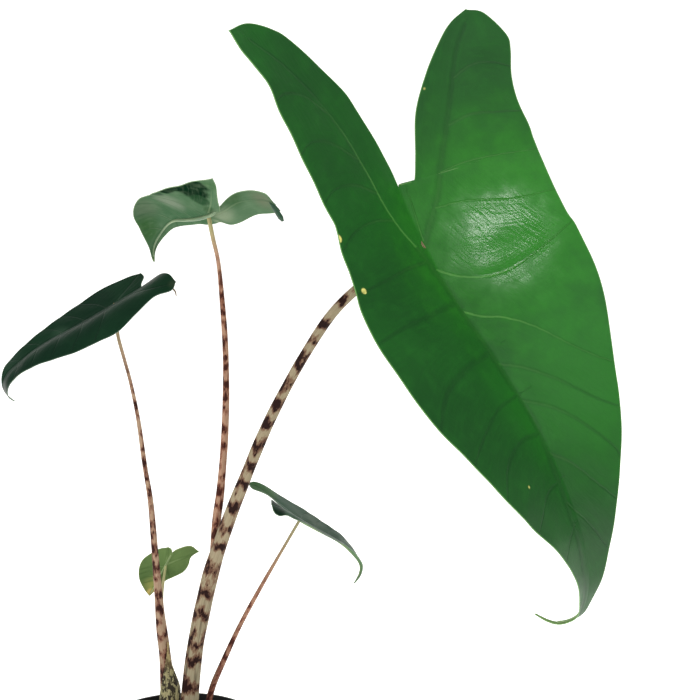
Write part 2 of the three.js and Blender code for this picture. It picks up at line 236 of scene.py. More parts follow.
class Nodes:
    """Adds nodes to a tree; each input is a value or another node's output."""

    def __init__(self, tree):
        self.tree = tree

    def put(self, socket, value):
        if isinstance(value, bpy.types.NodeSocket):
            self.tree.links.new(value, socket)
        elif value is not None:
            socket.default_value = value

    def add(self, kind, inputs=(), **settings):
        node = self.tree.nodes.new(kind)
        for key, value in settings.items():
            setattr(node, key, value)
        for key, value in dict(inputs).items():
            self.put(node.inputs[key], value)
        return node

    def math(self, operation, a, b=None):
        node = self.add("ShaderNodeMath", operation=operation)
        self.put(node.inputs[0], a)
        self.put(node.inputs[1], b)
        return node.outputs[0]

    def plus(self, a, b):
        return self.math("ADD", a, b)

    def minus(self, a, b):
        return self.math("SUBTRACT", a, b)

    def times(self, a, b):
        return self.math("MULTIPLY", a, b)

    def vector(self, operation, a, b=None):
        node = self.add("ShaderNodeVectorMath", operation=operation)
        self.put(node.inputs[0], a)
        self.put(node.inputs[1], b)
        return node.outputs["Value"] if operation == "DISTANCE" else node.outputs[0]

    def attribute(self, name):
        return self.add("ShaderNodeAttribute", attribute_name=name)

    def noise(self, vector, scale, detail=2.0, roughness=0.5):
        inputs = {"Vector": vector, "Scale": scale, "Detail": detail, "Roughness": roughness}
        return self.add("ShaderNodeTexNoise", inputs).outputs["Fac"]

    def stretched_noise(self, vector, scales, detail, roughness=0.5):
        """Noise with its own scale along each axis."""
        return self.noise(self.vector("MULTIPLY", vector, scales), 1.0, detail, roughness)

    def between(self, value, low, high, start=0.0, end=1.0):
        """Smoothly start to end as value goes from low to high."""
        inputs = {"Value": value, "From Min": low, "From Max": high, "To Min": start, "To Max": end}
        return self.add("ShaderNodeMapRange", inputs, interpolation_type="SMOOTHSTEP").outputs["Result"]

    def mix(self, share, a, b):
        """From colour a to b by share; a colour is 8-bit display values or another node's output."""
        node = self.add("ShaderNodeMix", {"Factor": share}, data_type="RGBA")
        for socket, colour in ((6, a), (7, b)):
            self.put(node.inputs[socket], srgb(*colour) if isinstance(colour, tuple) else colour)
        return node.outputs[2]

    def bump(self, height, strength, distance):
        inputs = {"Height": height, "Strength": strength, "Distance": distance}
        return self.add("ShaderNodeBump", inputs).outputs["Normal"]

    def separate(self, vector):
        return self.add("ShaderNodeSeparateXYZ", {"Vector": vector}).outputs

    def combine(self, x, y, z):
        return self.add("ShaderNodeCombineXYZ", {"X": x, "Y": y, "Z": z}).outputs[0]

    def group(self, tree, **inputs):
        node = self.add("ShaderNodeGroup", node_tree=tree)
        for key, value in inputs.items():
            self.put(node.inputs[key], value)
        return node.outputs


def finish(name, look):
    """A material with the shader inputs that look(nodes) gives."""
    material = bpy.data.materials.new(name)
    material.use_nodes = True
    nodes = Nodes(material.node_tree)
    shader = next(n for n in material.node_tree.nodes if n.type == "BSDF_PRINCIPLED")
    for key, value in look(nodes).items():
        nodes.put(shader.inputs[key], value)
    return material


def new_group(name, inputs, outputs):
    """A node group with float or vector inputs and float or vector outputs."""
    tree = bpy.data.node_groups.new(name, "ShaderNodeTree")
    kinds = {"value": "NodeSocketFloat", "vector": "NodeSocketVector"}
    for label, kind in inputs.items():
        tree.interface.new_socket(label, in_out="INPUT", socket_type=kinds[kind])
    for label, kind in outputs.items():
        tree.interface.new_socket(label, in_out="OUTPUT", socket_type=kinds[kind])
    nodes = Nodes(tree)
    return tree, nodes, nodes.add("NodeGroupInput").outputs, nodes.add("NodeGroupOutput").inputs


# Zebra bands of the petioles


def zebra_group():
    """Mottled bands on a straightened stem: a wide Halo, the Band in it and the dark spots of its Core."""
    tree, n, given, out = new_group(
        "zebra_bands",
        {"Straight": "vector"} | dict.fromkeys(("Period", "Even", "Cover", "Ragged", "Seed"), "value"),
        dict.fromkeys(("Halo", "Band", "Core", "Fibre", "Streak"), "value"),
    )
    moved = n.vector("ADD", given["Straight"], n.combine(given["Seed"], given["Seed"], given["Seed"]))
    along = n.separate(moved)[2]
    turns = n.math("DIVIDE", along, given["Period"])
    uneven = n.noise(n.combine(given["Seed"], 0.0, n.times(turns, 0.5)), 1.0, 1.0)
    lean = n.stretched_noise(moved, (0.16, 0.16, 0.05), 1.0)
    turns = n.plus(turns, n.plus(n.times(uneven, 1.5), lean))
    wave = n.times(n.math("COSINE", n.times(turns, 2 * math.pi)), given["Even"])
    broken = n.stretched_noise(moved, (0.24, 0.24, 0.11), 2.0)
    fine = n.stretched_noise(moved, (0.9, 0.9, 0.4), 4.0, 0.65)
    edge = n.plus(n.times(n.minus(broken, 0.5), 1.8), n.minus(fine, 0.5))
    edge = n.times(edge, given["Ragged"])
    level = n.plus(n.minus(n.plus(given["Cover"], edge), 0.5), wave)
    spots = n.stretched_noise(moved, (0.55, 0.55, 0.3), 2.0)
    spotted = n.plus(level, n.times(n.minus(spots, 0.5), 1.2))
    n.put(out["Halo"], n.between(level, -0.3, 0.0))
    n.put(out["Band"], n.between(level, -0.04, 0.26))
    n.put(out["Core"], n.between(spotted, 0.16, 0.42))
    n.put(out["Fibre"], n.stretched_noise(moved, (1.6, 1.6, 0.06), 3.0))
    streak = n.stretched_noise(moved, (0.5, 0.5, 0.02), 2.0)
    n.put(out["Streak"], n.between(streak, 0.56, 0.66))
    return tree


ZEBRA = zebra_group()
HALO_DEPTH = 0.8


def petiole_finish(name, look, length):
    """Blotched stalk: ground from foot to top, then halo, band and core, faded out below the blade."""

    def build(n):
        straight = n.attribute("straight").outputs["Vector"]
        along = n.separate(straight)[2]
        pattern = {key.title(): look[key] for key in ("period", "even", "cover", "ragged", "seed")}
        marks = n.group(ZEBRA, Straight=straight, **pattern)
        bare = length - look["bare"]
        colour = n.mix(n.between(along, *look["ground_turn"]), look["foot"], look["middle"])
        colour = n.mix(n.between(along, bare, length - 4), colour, look["top"])
        colour = n.mix(n.times(n.between(marks["Fibre"], 0.35, 0.68), 0.3), colour, look["streak"])
        low = n.between(along, look["streaked"] * 0.6, look["streaked"], 0.6, 0.0)
        colour = n.mix(n.times(marks["Streak"], low), colour, look["core"])
        fade = n.between(along, bare - 25, bare + 12, 1.0, 0.0)
        depths = {"halo": HALO_DEPTH, "band": look["band_depth"], "core": look["core_depth"]}
        for mark, depth in depths.items():
            colour = n.mix(n.times(n.times(marks[mark.title()], fade), depth), colour, look[mark])
        return {
            "Base Color": colour,
            "Roughness": n.between(marks["Fibre"], 0.3, 0.7, 0.5, 0.65),
            "Normal": n.bump(marks["Fibre"], 0.2, 0.0003),
            "Specular IOR Level": 0.06,
        }

    return finish(name, build)


# Petioles: centre line and radius in mm. The radius is keyed by the share of the length.
SINK = 12
PETIOLES = {
    "main": {
        "points": [
            (6, -1, SOIL_LEVEL - SINK), (7.4, -1, 112), (9.3, 0, 139), (12, -1, 162), (15, -3, 180),
            (21, -6, 207), (28, -10, 233), (40, -18, 268), (50.4, -26, 295), (60.6, -35, 320.5),
            (72, -45, 346), (88.8, -60, 379), (108.4, -78, 410.6), (131.5, -91, 433), (158.6, -100, 451.5),
        ],
        "radius": [
            (0, 6.8), (0.1, 6.1), (0.22, 5.5), (0.3, 5.4), (0.42, 4.5), (0.55, 3.7), (0.75, 3), (1, 2.6),
        ],
        "look": {
            "period": 17, "even": 0.45, "cover": 0.5, "ragged": 1.3, "seed": 3.0, "bare": 14,
            "ground_turn": (40, 190), "streaked": 150,
            "foot": (138, 130, 106), "middle": (144, 132, 108), "top": (120, 106, 82),
            "streak": (104, 90, 70), "halo": (108, 80, 62), "band": (76, 48, 40), "band_depth": 0.8,
            "core": (28, 12, 11), "core_depth": 0.95,
        },
    },
    "upper": {
        "points": [
            (21, -5.5, 205), (24.6, -7.5, 221), (27.8, -8.8, 237), (29.2, -8, 254), (30.3, -7, 265),
            (32.3, -4, 280), (34.7, 3, 311), (35.8, 9, 342), (35.5, 13, 373), (33.5, 16, 404),
            (31.3, 18, 427.5), (28, 19.5, 443), (25.2, 20, 458),
        ],
        "radius": [(0, 2.6), (0.2, 3.0), (0.4, 2.4), (0.7, 1.9), (0.9, 1.3), (1, 1.4)],
        "look": {
            "period": 10, "even": 0.26, "cover": 0.47, "ragged": 1.7, "seed": 41.0, "bare": 30,
            "ground_turn": (20, 120), "streaked": 60,
            "foot": (150, 122, 100), "middle": (166, 132, 110), "top": (158, 156, 112),
            "streak": (130, 92, 74), "halo": (128, 84, 66), "band": (94, 52, 42), "band_depth": 0.8,
            "core": (46, 20, 18), "core_depth": 0.85,
        },
    },
    "left": {
        "points": [
            (-9, 6.5, SOIL_LEVEL - SINK), (-8.4, 6.5, 112), (-7, 6, 133), (-8, 6, 159), (-10.6, 7, 185),
            (-11.7, 7.5, 202), (-13.7, 9, 235), (-15.7, 10, 268), (-19, 11, 292), (-23, 12.5, 325),
            (-27.4, 13.5, 349), (-31.3, 14, 365), (-35, 14.5, 381), (-36.2, 15, 401),
        ],
        "radius": [
            (0, 5.2), (0.15, 4.9), (0.27, 3.8), (0.4, 2.6), (0.5, 2.1), (0.65, 1.6), (0.85, 1.1), (1, 1.1),
        ],
        "look": {
            "period": 10, "even": 0.25, "cover": 0.46, "ragged": 1.6, "seed": 77.0, "bare": 40,
            "ground_turn": (30, 160), "streaked": 80,
            "foot": (140, 122, 100), "middle": (156, 132, 110), "top": (168, 154, 122),
            "streak": (120, 92, 72), "halo": (122, 86, 70), "band": (86, 50, 42), "band_depth": 0.8,
            "core": (36, 16, 15), "core_depth": 0.9,
        },
    },
    "right": {
        "points": [
            (15, 6, SOIL_LEVEL - SINK), (18, 7, 112), (22.5, 8, 135), (31, 9, 156), (43, 9, 182.5),
            (56.5, 9, 208), (70, 9, 232), (82, 9.5, 253), (84, 10, 256),
        ],
        "radius": [(0, 2.6), (0.3, 2.1), (0.6, 1.5), (0.9, 1.0), (1, 1.0)],
        "look": {
            "period": 11, "even": 0.2, "cover": 0.53, "ragged": 1.6, "seed": 9.0, "bare": 50,
            "ground_turn": (30, 130), "streaked": 50,
            "foot": (128, 96, 78), "middle": (160, 122, 100), "top": (160, 152, 118),
            "streak": (114, 78, 62), "halo": (120, 76, 62), "band": (92, 50, 42), "band_depth": 0.8,
            "core": (52, 24, 22), "core_depth": 0.8,
        },
    },
    "small": {
        "points": [
            (-5, 14, SOIL_LEVEL - SINK), (-5, 14.5, 112), (-5.5, 15.5, 132), (-8.5, 17.5, 159),
            (-11, 20.5, 179), (-11.8, 25, 198), (-10.2, 34, 215.5),
        ],
        "radius": [(0, 1.5), (0.5, 1.2), (0.9, 0.9), (1, 0.9)],
        "look": {
            "period": 12, "even": 0.3, "cover": 0.2, "ragged": 0.7, "seed": 21.0, "bare": 20,
            "ground_turn": (20, 90), "streaked": 20,
            "foot": (158, 142, 110), "middle": (156, 148, 112), "top": (150, 152, 108),
            "streak": (128, 112, 82), "halo": (140, 118, 88), "band": (128, 94, 72), "band_depth": 0.5,
            "core": (100, 66, 50), "core_depth": 0.4,
        },
    },
}
STEM_SIDES = 40
STEM_STEP = 1.5


def stem_line(points, step):
    """Evenly spaced points of a stem's centre line, with their lengths from the foot."""
    dense = smooth_path(points, np.linspace(0, 1, 1200))
    length = np.concatenate([[0], np.cumsum(np.linalg.norm(np.diff(dense, axis=0), axis=1))])
    rows = max(8, int(length[-1] / step))
    at = np.linspace(0, length[-1], rows + 1)
    return np.stack([np.interp(at, length, dense[:, k]) for k in range(3)], 1), at


def stem_frames(line):
    """Directions across a stem at each point, turning as little as they can."""
    ahead = np.gradient(line, axis=0)
    ahead /= np.linalg.norm(ahead, axis=1)[:, None]
    side = np.empty_like(line)
    first = np.cross(ahead[0], (0.0, 1.0, 0.0))
    side[0] = first / np.linalg.norm(first)
    for i in range(1, len(line)):
        s = side[i - 1] - ahead[i] * (side[i - 1] @ ahead[i])
        side[i] = s / np.linalg.norm(s)
    return side, np.cross(ahead, side)


def roll_stem(name, points, radius, step=STEM_STEP, sides=STEM_SIDES, profile=None):
    """A grid rolled into a closed stem along its line; it keeps each vertex's place on the straight stem."""
    line, at = stem_line(points, step)
    side, up = stem_frames(line)
    rows = len(line) - 1
    piece, across, along = add_grid(name, sides, rows)
    row = np.rint(along * rows).astype(int)
    angle = across * 2 * math.pi
    r = ramp(radius, at[row] / at[-1])
    if profile:
        r = r * profile(angle, at[row])
    offset = side[row] * (np.cos(angle) * r)[:, None] + up[row] * (np.sin(angle) * r)[:, None]
    place_vertices(piece, line[row] + offset)
    straight = np.stack([np.cos(angle) * r, np.sin(angle) * r, at[row]], 1)
    point_attribute(piece, "straight", straight)
    merge(piece)
    close_ends(piece)
    face_outwards(piece)
    return piece, at[-1]


def close_ends(piece):
    """Fills the open rings at a stem's two ends."""
    use(piece)
    bpy.ops.object.mode_set(mode="EDIT")
    bpy.ops.mesh.select_mode(type="EDGE")
    bpy.ops.mesh.select_all(action="DESELECT")
    bpy.ops.mesh.select_non_manifold()
    bpy.ops.mesh.fill()
    leave_edit()


def knotted(seed):
    """Slight unevenness of a grown stalk."""

    def profile(angle, along):
        x = np.cos(angle)
        y = np.sin(angle)
        slow = np.sin(along / 17 + 2.1 * x + seed) * 0.02
        quick = np.sin(along / 5.3 + 1.7 * y + 2 * seed) * 0.012
        return 1 + slow + quick

    return profile


def make_petioles():
    for name, spec in PETIOLES.items():
        look = spec["look"]
        uneven = knotted(look["seed"])
        piece, length = roll_stem("petiole_" + name, spec["points"], spec["radius"], profile=uneven)
        piece.data.materials.append(petiole_finish("banded_stalk_" + name, look, length))
        smooth(piece, 60)
        belongs(piece, "petiole_" + name)


# Blades: outlines are (distance from the midrib, length along it) in mm, from the lobe's end to the tip.
# Bend, fold, curl and lobe are keyed by the length along the midrib: the midrib's slope, the half's rise,
# its bow across, and what the lobe adds to the slope, for the blade's right half (1) and left half (-1).
# A vein is its line in the same flat mm, x to the blade's right, then width, paleness at its start and end.
# A patch is (x, y, radius, colour, amount) in the same flat mm, and a firm amount gives it a crisper edge.
# Some patches are the leaf's own spots; others are painted light, painted shade and painted sheen.
# Gloss is (x, y, radius, roughness inside, roughness outside).
# End is a lobe's rolled or pointed end: its line in mm, its radius keyed by share of length, and two colours.
YELLOW = (204, 196, 110)
# Dark teal used as painted shade on folded lobes that face away from the light
PAINTED_SHADE_TEAL = (8, 36, 20)
FIRM_AMOUNT = 0.85
UPPER_FACE_GLOSS = (0, 0, 30, 0.35, 0.35)
LOWER_FACE_GLOSS = (0, 0, 30, 0.4, 0.4)
# Upper leaf, on both faces: painted shade in dark teal and dark greens around the near lobe, and painted grey
# sheen in the pale grey-greens
UPPER_LEAF_PAINTED_LIGHT_AND_SHADE = [
    (-24, -14, 13, PAINTED_SHADE_TEAL, 1.0), (-34, -12, 13, PAINTED_SHADE_TEAL, 1.0), (-33, -26, 13, PAINTED_SHADE_TEAL, 1.0),
    (-35, 2, 8, PAINTED_SHADE_TEAL, 1.0), (-34, 16, 7, (30, 62, 42), 0.9), (-31, 28, 6, (44, 74, 52), 0.8),
    (-14, -9, 8, (34, 64, 40), 0.9), (-3, -6, 7, (34, 66, 34), 0.8), (-26, -40, 9, (66, 98, 64), 0.9),
    (-20, 20, 16, (120, 132, 114), 0.75), (-20, 46, 14, (84, 102, 80), 0.8),
    (6, -8, 11, (132, 144, 120), 0.7), (15, 6, 12, (128, 142, 116), 0.7), (3, -24, 11, (58, 88, 54), 0.8),
    (16, -42, 13, (98, 106, 86), 0.8), (-10, 60, 13, (48, 84, 42), 0.8), (1, 80, 6, (150, 170, 110), 0.8),
]
# Painted shade over the right leaf's near lobe
NEAR_LOBE_PAINTED_SHADE = (14, -24, 13, PAINTED_SHADE_TEAL, 0.95)
SMALL_LEAF_TINTS = [
    (0, 17, 10, (140, 140, 78), 0.8), (1, 22, 5, (184, 162, 96), 0.9), (1, 25, 2, (110, 74, 44), 0.9),
]


def on_midrib(*lengths):
    """Outline points on the midrib, at these lengths along it."""
    return [(0, length) for length in lengths]


BLADES = {
    "main": {
        "at": (158.6, -100, 451.5), "heading": -118, "dip": 57, "roll": 30,
        "bend": [
            (-60, 20), (0, 5), (50, -10), (115, 0), (165, 14), (205, 34), (236, 58), (258, 88), (290, 128),
        ],
        "fold": {1: [(205, 20), (245, 5)], -1: [(205, 20), (245, 5)]},
        "curl": {1: 0, -1: 0},
        "lobe": {1: 0, -1: 0},
        "outer": {
            1: [
                (98, -142), (94, -132), (88, -123), (81, -110), (79, -95), (74, -75), (68, -36), (68, -24),
                (72, -9), (75, 11), (80, 31), (83, 80), (69, 119), (45, 160), (20, 195), (4, 238), (2, 262),
                (0.5, 290),
            ],
            -1: [
                (69, -116), (79, -111), (88, -96), (88, -87), (84, -73), (83, -61), (85, -43), (85, -33),
                (85, -22), (84, 19), (84, 36), (77, 67), (62, 100), (48, 132), (31, 164), (16, 195), (5, 234),
                (2, 262), (0.5, 290),
            ],
        },
        "inner": {
            1: [
                (98, -142), (82, -143), (65, -137), (52, -128), (26, -100), (16, -84), (3, -52),
                *on_midrib(-34, -12, 12, 36, 80, 118, 160, 197, 238, 262, 290),
            ],
            -1: [
                (69, -116), (59, -112), (50, -105), (36, -90), (23, -71), (15, -47), (10, -35), (5, -31),
                *on_midrib(-34, 10, 36, 70, 102, 134, 165, 196, 234, 262, 290),
            ],
        },
        "midrib": {"end": 270, "radius": (2.1, 0.7)},
        "veins": [
            # midrib
            (
                [
                    (8, 0), (4, 14), (1, 30), (2, 60), (2, 90), (0, 115), (4, 145), (6, 180), (3, 230),
                    (0, 285),
                ],
                1.5, 0.1, 0.0,
            ),
            # lobe ribs
            ([(8, 0), (15, -14), (19, -29), (24, -52), (38, -84), (60, -114), (84, -135)], 0.8, 0.95, 0.0),
            (
                [(2, 2), (-12, -13), (-20, -23), (-32, -46), (-44, -70), (-56, -95), (-66, -108)],
                1.3, 0.1, 0.0,
            ),
            ([(0, 0), (-2, -12), (-4, -28)], 0.5, 0.6, 0.3),
            # side veins towards the picture's right
            ([(0, 17), (-10, 26), (-24, 34), (-40, 37), (-60, 35), (-82, 30)], 0.7, 1.0, 0.3),
            ([(0, 45), (-8, 53), (-17, 59), (-28, 71), (-40, 89), (-50, 102), (-58, 110)], 0.7, 1.0, 0.3),
            ([(1, 80), (-10, 88), (-24, 103), (-38, 122), (-46, 130)], 0.7, 0.3, 0.0),
            ([(0, 104), (-8, 110), (-16, 118), (-25, 131), (-34, 147), (-36, 154)], 0.7, 0.2, 0.0),
            ([(2, 135), (-8, 146), (-18, 163), (-26, 176)], 0.6, 0.2, 0.0),
            ([(4, 165), (-4, 178), (-12, 196)], 0.5, 0.2, 0.0),
            # side veins towards the picture's left
            ([(6, 10), (26, 10), (48, 12), (76, 14)], 0.7, 0.1, 0.0),
            ([(1, 38), (22, 40), (39, 42), (53, 43), (80, 48)], 1.0, 0.0, 0.0),
            ([(2, 72), (25, 75), (48, 81), (63, 88), (76, 98)], 1.1, 0.0, 0.0),
            ([(0, 100), (22, 102), (44, 110), (66, 121)], 0.6, 0.0, 0.0),
            ([(1, 124), (20, 123), (41, 130), (54, 142)], 0.8, 0.0, 0.0),
            ([(4, 152), (20, 154), (38, 166)], 0.6, 0.0, 0.0),
            ([(5, 178), (16, 184), (25, 193)], 0.5, 0.0, 0.0),
            # side veins of the lobes
            ([(16, -18), (34, -22), (54, -20), (70, -12)], 0.6, 0.2, 0.0),
            ([(20, -36), (38, -46), (56, -48), (70, -42)], 0.6, 0.2, 0.0),
            ([(27, -58), (46, -72), (62, -76), (74, -72)], 0.6, 0.2, 0.0),
            ([(40, -87), (56, -100), (70, -104), (80, -102)], 0.5, 0.2, 0.0),
            ([(-14, -16), (-34, -12), (-58, -2), (-84, 4)], 0.45, 0.5, 0.4),
            ([(-26, -34), (-44, -34), (-64, -30), (-84, -24)], 0.4, 0.5, 0.4),
            ([(-38, -58), (-54, -60), (-70, -56), (-84, -52)], 0.6, 0.2, 0.0),
            ([(-50, -82), (-62, -86), (-74, -84), (-85, -78)], 0.5, 0.2, 0.0),
        ],
        "rows": (70, 190), "columns": 56, "quilt": 0.7, "quilt_reach": 12, "wave": 0.5,
        "upper": {
            "deep": (6, 60, 12), "mid": (10, 68, 14), "light": (26, 96, 24), "line": (4, 40, 12),
            "pale": (92, 146, 70), "edge": (84, 128, 66), "vein_depth": 0.3,
        },
        "lower": {
            "deep": (70, 108, 62), "mid": (84, 122, 72), "light": (102, 136, 86),
            "line": (120, 146, 96), "pale": (136, 158, 108), "edge": (140, 164, 100), "vein_depth": 0.5,
        },
        # The two broad lighter greens are painted light on the blade's lit left half; the yellow patches are
        # the leaf's own spots
        "patches": [
            (-50, 10, 100, (34, 112, 20), 0.75), (-40, 110, 80, (26, 102, 18), 0.6),
            (69, -20, 3, YELLOW, 0.9), (69, 13, 2.4, YELLOW, 0.9), (-32, -82, 1.2, YELLOW, 0.6),
            (33, 144, 1.2, YELLOW, 0.6),
        ],
        "gloss": (-42, 18, 33, 0.2, 0.5),
        "sheen": 0.35,
        "slot": "blade",
    },
    "upper": {
        "at": (25, 20, 458), "heading": 41, "dip": 9, "roll": 16,
        "bend": [(-16, 0), (0, 4), (32, -5), (60, 46), (80, 124)],
        "fold": {1: [(-14, -20), (14, 5)], -1: 30},
        "curl": {1: -0.008, -1: -0.015},
        "lobe": {1: [(-74, -110), (-60, -80), (-48, 0), (-34, 14), (-16, 42), (0, 0)], -1: 0},
        "outer": {
            1: [
                (24, -64), (27, -53), (28, -40), (25, -30), (21, -18), (16, -7), (15, 3), (18, 17),
                (19, 30), (15, 43), (7, 51), (3, 66), (0.5, 80),
            ],
            -1: [
                (35, -51), (36, -42), (37, -30), (35, -14), (36, 0), (34, 17), (30, 32), (27, 46),
                (22, 55), (13, 62), (3, 70), (0.5, 80),
            ],
        },
        "inner": {
            1: [
                (24, -64), (17, -57), (9, -46), (4, -35), (1.5, -25),
                *on_midrib(-13, -2, 14, 30, 43, 55, 67, 80),
            ],
            -1: [
                (35, -51), (26, -42), (17, -31), (9, -22),
                *on_midrib(-13, -4, 9, 22, 36, 49, 63, 80),
            ],
        },
        "midrib": {"end": 76, "radius": (1.2, 0.5)},
        "rows": (44, 74), "columns": 24, "quilt": 0.5, "quilt_reach": 5, "wave": 0.3,
        "upper": {
            "deep": (58, 88, 66), "mid": (72, 102, 78), "light": (104, 130, 104), "line": (30, 58, 40),
            "pale": (130, 152, 118), "edge": (110, 136, 100), "vein_depth": 0.4,
        },
        "lower": {
            "deep": (62, 94, 66), "mid": (80, 108, 80), "light": (122, 142, 114),
            "line": (50, 82, 56), "pale": (140, 158, 122), "edge": (110, 136, 100), "vein_depth": 0.4,
        },
        "patches": UPPER_LEAF_PAINTED_LIGHT_AND_SHADE,
        "lower_patches": UPPER_LEAF_PAINTED_LIGHT_AND_SHADE,
        "sheen": 0.0,
        "end": {
            "points": [(66, 1, 467.5), (69, 1, 464), (72, 1, 459.5), (74.5, 1, 455.5)],
            "radius": [(0, 0.6), (0.35, 1.6), (0.8, 1.7), (1, 0.9)],
            "colours": ((24, 56, 38), (44, 76, 54)),
        },
        "slot": "blade_dark",
    },
    "left": {
        "at": (-36, 15, 401), "heading": 112, "dip": 25, "roll": -11,
        "bend": [(-16, 0), (0, 4), (40, 0), (76, 15), (105, 114)],
        "fold": {1: 15, -1: [(60, 25), (95, 5)]},
        "curl": {1: -0.004, -1: [(60, -0.04), (90, -0.02)]},
        "lobe": {1: 0, -1: [(-45, 15), (0, 0)]},
        "outer": {
            1: [
                (15, -26), (17, -20), (18, -12), (20, 1), (19, 15), (17, 28), (14, 42), (11, 56),
                (9, 70), (7, 80), (2, 91), (0.5, 105),
            ],
            -1: [
                (24, -38), (27, -32), (23, -21), (27, -5), (31, 11), (30, 25), (29, 40), (26, 53),
                (21, 66), (16, 77), (11, 91), (0.5, 105),
            ],
        },
        "inner": {
            1: [
                (15, -26), (10, -26), (5, -22),
                *on_midrib(-18, -4, 12, 28, 44, 60, 76, 90, 105),
            ],
            -1: [
                (24, -38), (14, -38), (4, -32),
                *on_midrib(-18, -4, 12, 28, 44, 60, 76, 90, 105),
            ],
        },
        "midrib": {"end": 98, "radius": (1.2, 0.5)},
        "rows": (24, 96), "columns": 24, "quilt": 0.5, "quilt_reach": 5, "wave": 0.3,
        "upper": {
            "deep": (12, 34, 22), "mid": (16, 42, 26), "light": (28, 54, 36), "line": (8, 24, 16),
            "pale": (72, 92, 76), "edge": (60, 84, 66), "vein_depth": 0.25,
        },
        "lower": {
            "deep": (80, 106, 84), "mid": (96, 120, 96), "light": (112, 134, 106),
            "line": (130, 150, 110), "pale": (150, 168, 120), "edge": (120, 140, 110), "vein_depth": 0.5,
        },
        # The grey-green patches at (0, 40) and (14, 78) are painted sheen
        "patches": [
            (0, 40, 9, (52, 76, 58), 0.4), (14, 78, 18, (58, 76, 64), 0.4),
            (-24, -36, 5, (60, 66, 50), 0.4),
        ],
        "sheen": 0.08,
        "end": {
            "points": [(0.4, 12, 411.6), (2.2, 11, 411), (4, 10, 409), (4.5, 10, 406)],
            "radius": [(0, 0.7), (0.5, 0.5), (1, 0.25)],
            "colours": ((120, 96, 66), (84, 62, 42)),
        },
        "slot": "blade_dark",
    },
    "right": {
        "at": (80.8, 10, 258), "heading": -65, "dip": 33, "roll": -2,
        "bend": [(-12, 0), (0, 2), (28, 0), (56, 18), (78, 104)],
        "fold": {1: [(-12, 15), (8, -3)], -1: [(-30, 26), (-8, 19)]},
        "curl": {1: [(-10, -0.06), (6, 0)], -1: 0},
        "lobe": {1: [(-28, 12), (-16, 6), (-9, 0)], -1: [(-32, -20), (-9, 0)]},
        "outer": {
            1: [
                (14, -27), (19, -24), (19, -19), (14, -12), (14, -1), (19, 9), (18, 20), (17, 33),
                (14, 46), (8, 56), (3, 66), (0.5, 78),
            ],
            -1: [
                (19, -32), (22, -26), (21, -13), (20, 0), (20, 12), (17, 24), (14, 36), (14, 48),
                (11, 58), (5, 68), (0.5, 78),
            ],
        },
        "inner": {
            1: [
                (14, -27), (8, -26), (3, -21),
                *on_midrib(-14, -6, 2, 12, 24, 36, 50, 64, 78),
            ],
            -1: [
                (20, -32), (13, -30), (10, -19),
                *on_midrib(-9, 0, 10, 20, 34, 47, 61, 78),
            ],
        },
        "midrib": {"end": 72, "radius": (1.0, 0.45)},
        "rows": (24, 72), "columns": 22, "quilt": 0.4, "quilt_reach": 4, "wave": 0.25,
        "upper": {
            "deep": (34, 66, 46), "mid": (48, 80, 60), "light": (72, 100, 80), "line": (20, 46, 32),
            "pale": (104, 126, 106), "edge": (96, 120, 90), "vein_depth": 0.35,
        },
        "lower": {
            "deep": (80, 112, 80), "mid": (96, 126, 92), "light": (112, 140, 104),
            "line": (130, 150, 110), "pale": (150, 168, 120), "edge": (120, 140, 110), "vein_depth": 0.5,
        },
        # Painted light on the far lobe, painted shade on the near lobe (both faces) and lower half, and a
        # painted grey sheen band
        "patches": [
            (-18, -26, 17, (66, 100, 60), 0.9), NEAR_LOBE_PAINTED_SHADE, (16, 36, 14, (30, 58, 40), 0.7),
            (-10, 20, 14, (84, 100, 84), 0.5),
        ],
        "lower_patches": [NEAR_LOBE_PAINTED_SHADE],
        "sheen": 0.04,
        "slot": "blade_dark",
    },
    "small": {
        "at": (-10.2, 34, 215.5), "heading": 97, "dip": 62, "roll": 100.7,
        "bend": [(-5, 0), (0, 0), (10, 5), (20, 10), (26, 15)],
        "fold": {1: 5, -1: 5},
        "curl": {1: 0, -1: 0},
        "lobe": {1: 0, -1: 0},
        "outer": {
            1: [
                (16, -19), (13, -13), (14, -7), (13, -1), (8, 6), (5, 10), (3, 16), (0.3, 24),
            ],
            -1: [
                (4, -12), (9, -8), (13, -2), (16, 5), (15, 12), (11, 18), (5, 22), (0.3, 24),
            ],
        },
        "inner": {
            1: [
                (16, -19), (9, -20), (3, -15),
                *on_midrib(-10, -3, 6, 15, 24),
            ],
            -1: [
                (4, -12), (2, -12),
                *on_midrib(-10, -5, 1, 8, 16, 24),
            ],
        },
        "midrib": {"end": 22, "radius": (0.6, 0.3)},
        "rows": (14, 34), "columns": 16, "quilt": 0.25, "quilt_reach": 2.5, "wave": 0.1,
        "upper": {
            "deep": (60, 84, 42), "mid": (72, 96, 50), "light": (92, 112, 66), "line": (52, 76, 38),
            "pale": (120, 146, 96), "edge": (130, 146, 90), "vein_depth": 0.4,
        },
        "lower": {
            "deep": (78, 100, 58), "mid": (90, 112, 66), "light": (104, 126, 78),
            "line": (64, 88, 48), "pale": (140, 158, 108), "edge": (134, 146, 96), "vein_depth": 0.5,
        },
        "patches": SMALL_LEAF_TINTS,
        "lower_patches": SMALL_LEAF_TINTS,
        "sheen": 0.05,
        "slot": "blade",
    },
}


def turned(spec):
    """A blade's turn: heading about the vertical, dip of the midrib, roll about it."""
    heading = Matrix.Rotation(math.radians(spec["heading"]), 3, "Z")
    dip = Matrix.Rotation(-math.radians(spec["dip"]), 3, "X")
    roll = Matrix.Rotation(math.radians(spec["roll"]), 3, "Y")
    return np.array(heading @ dip @ roll)


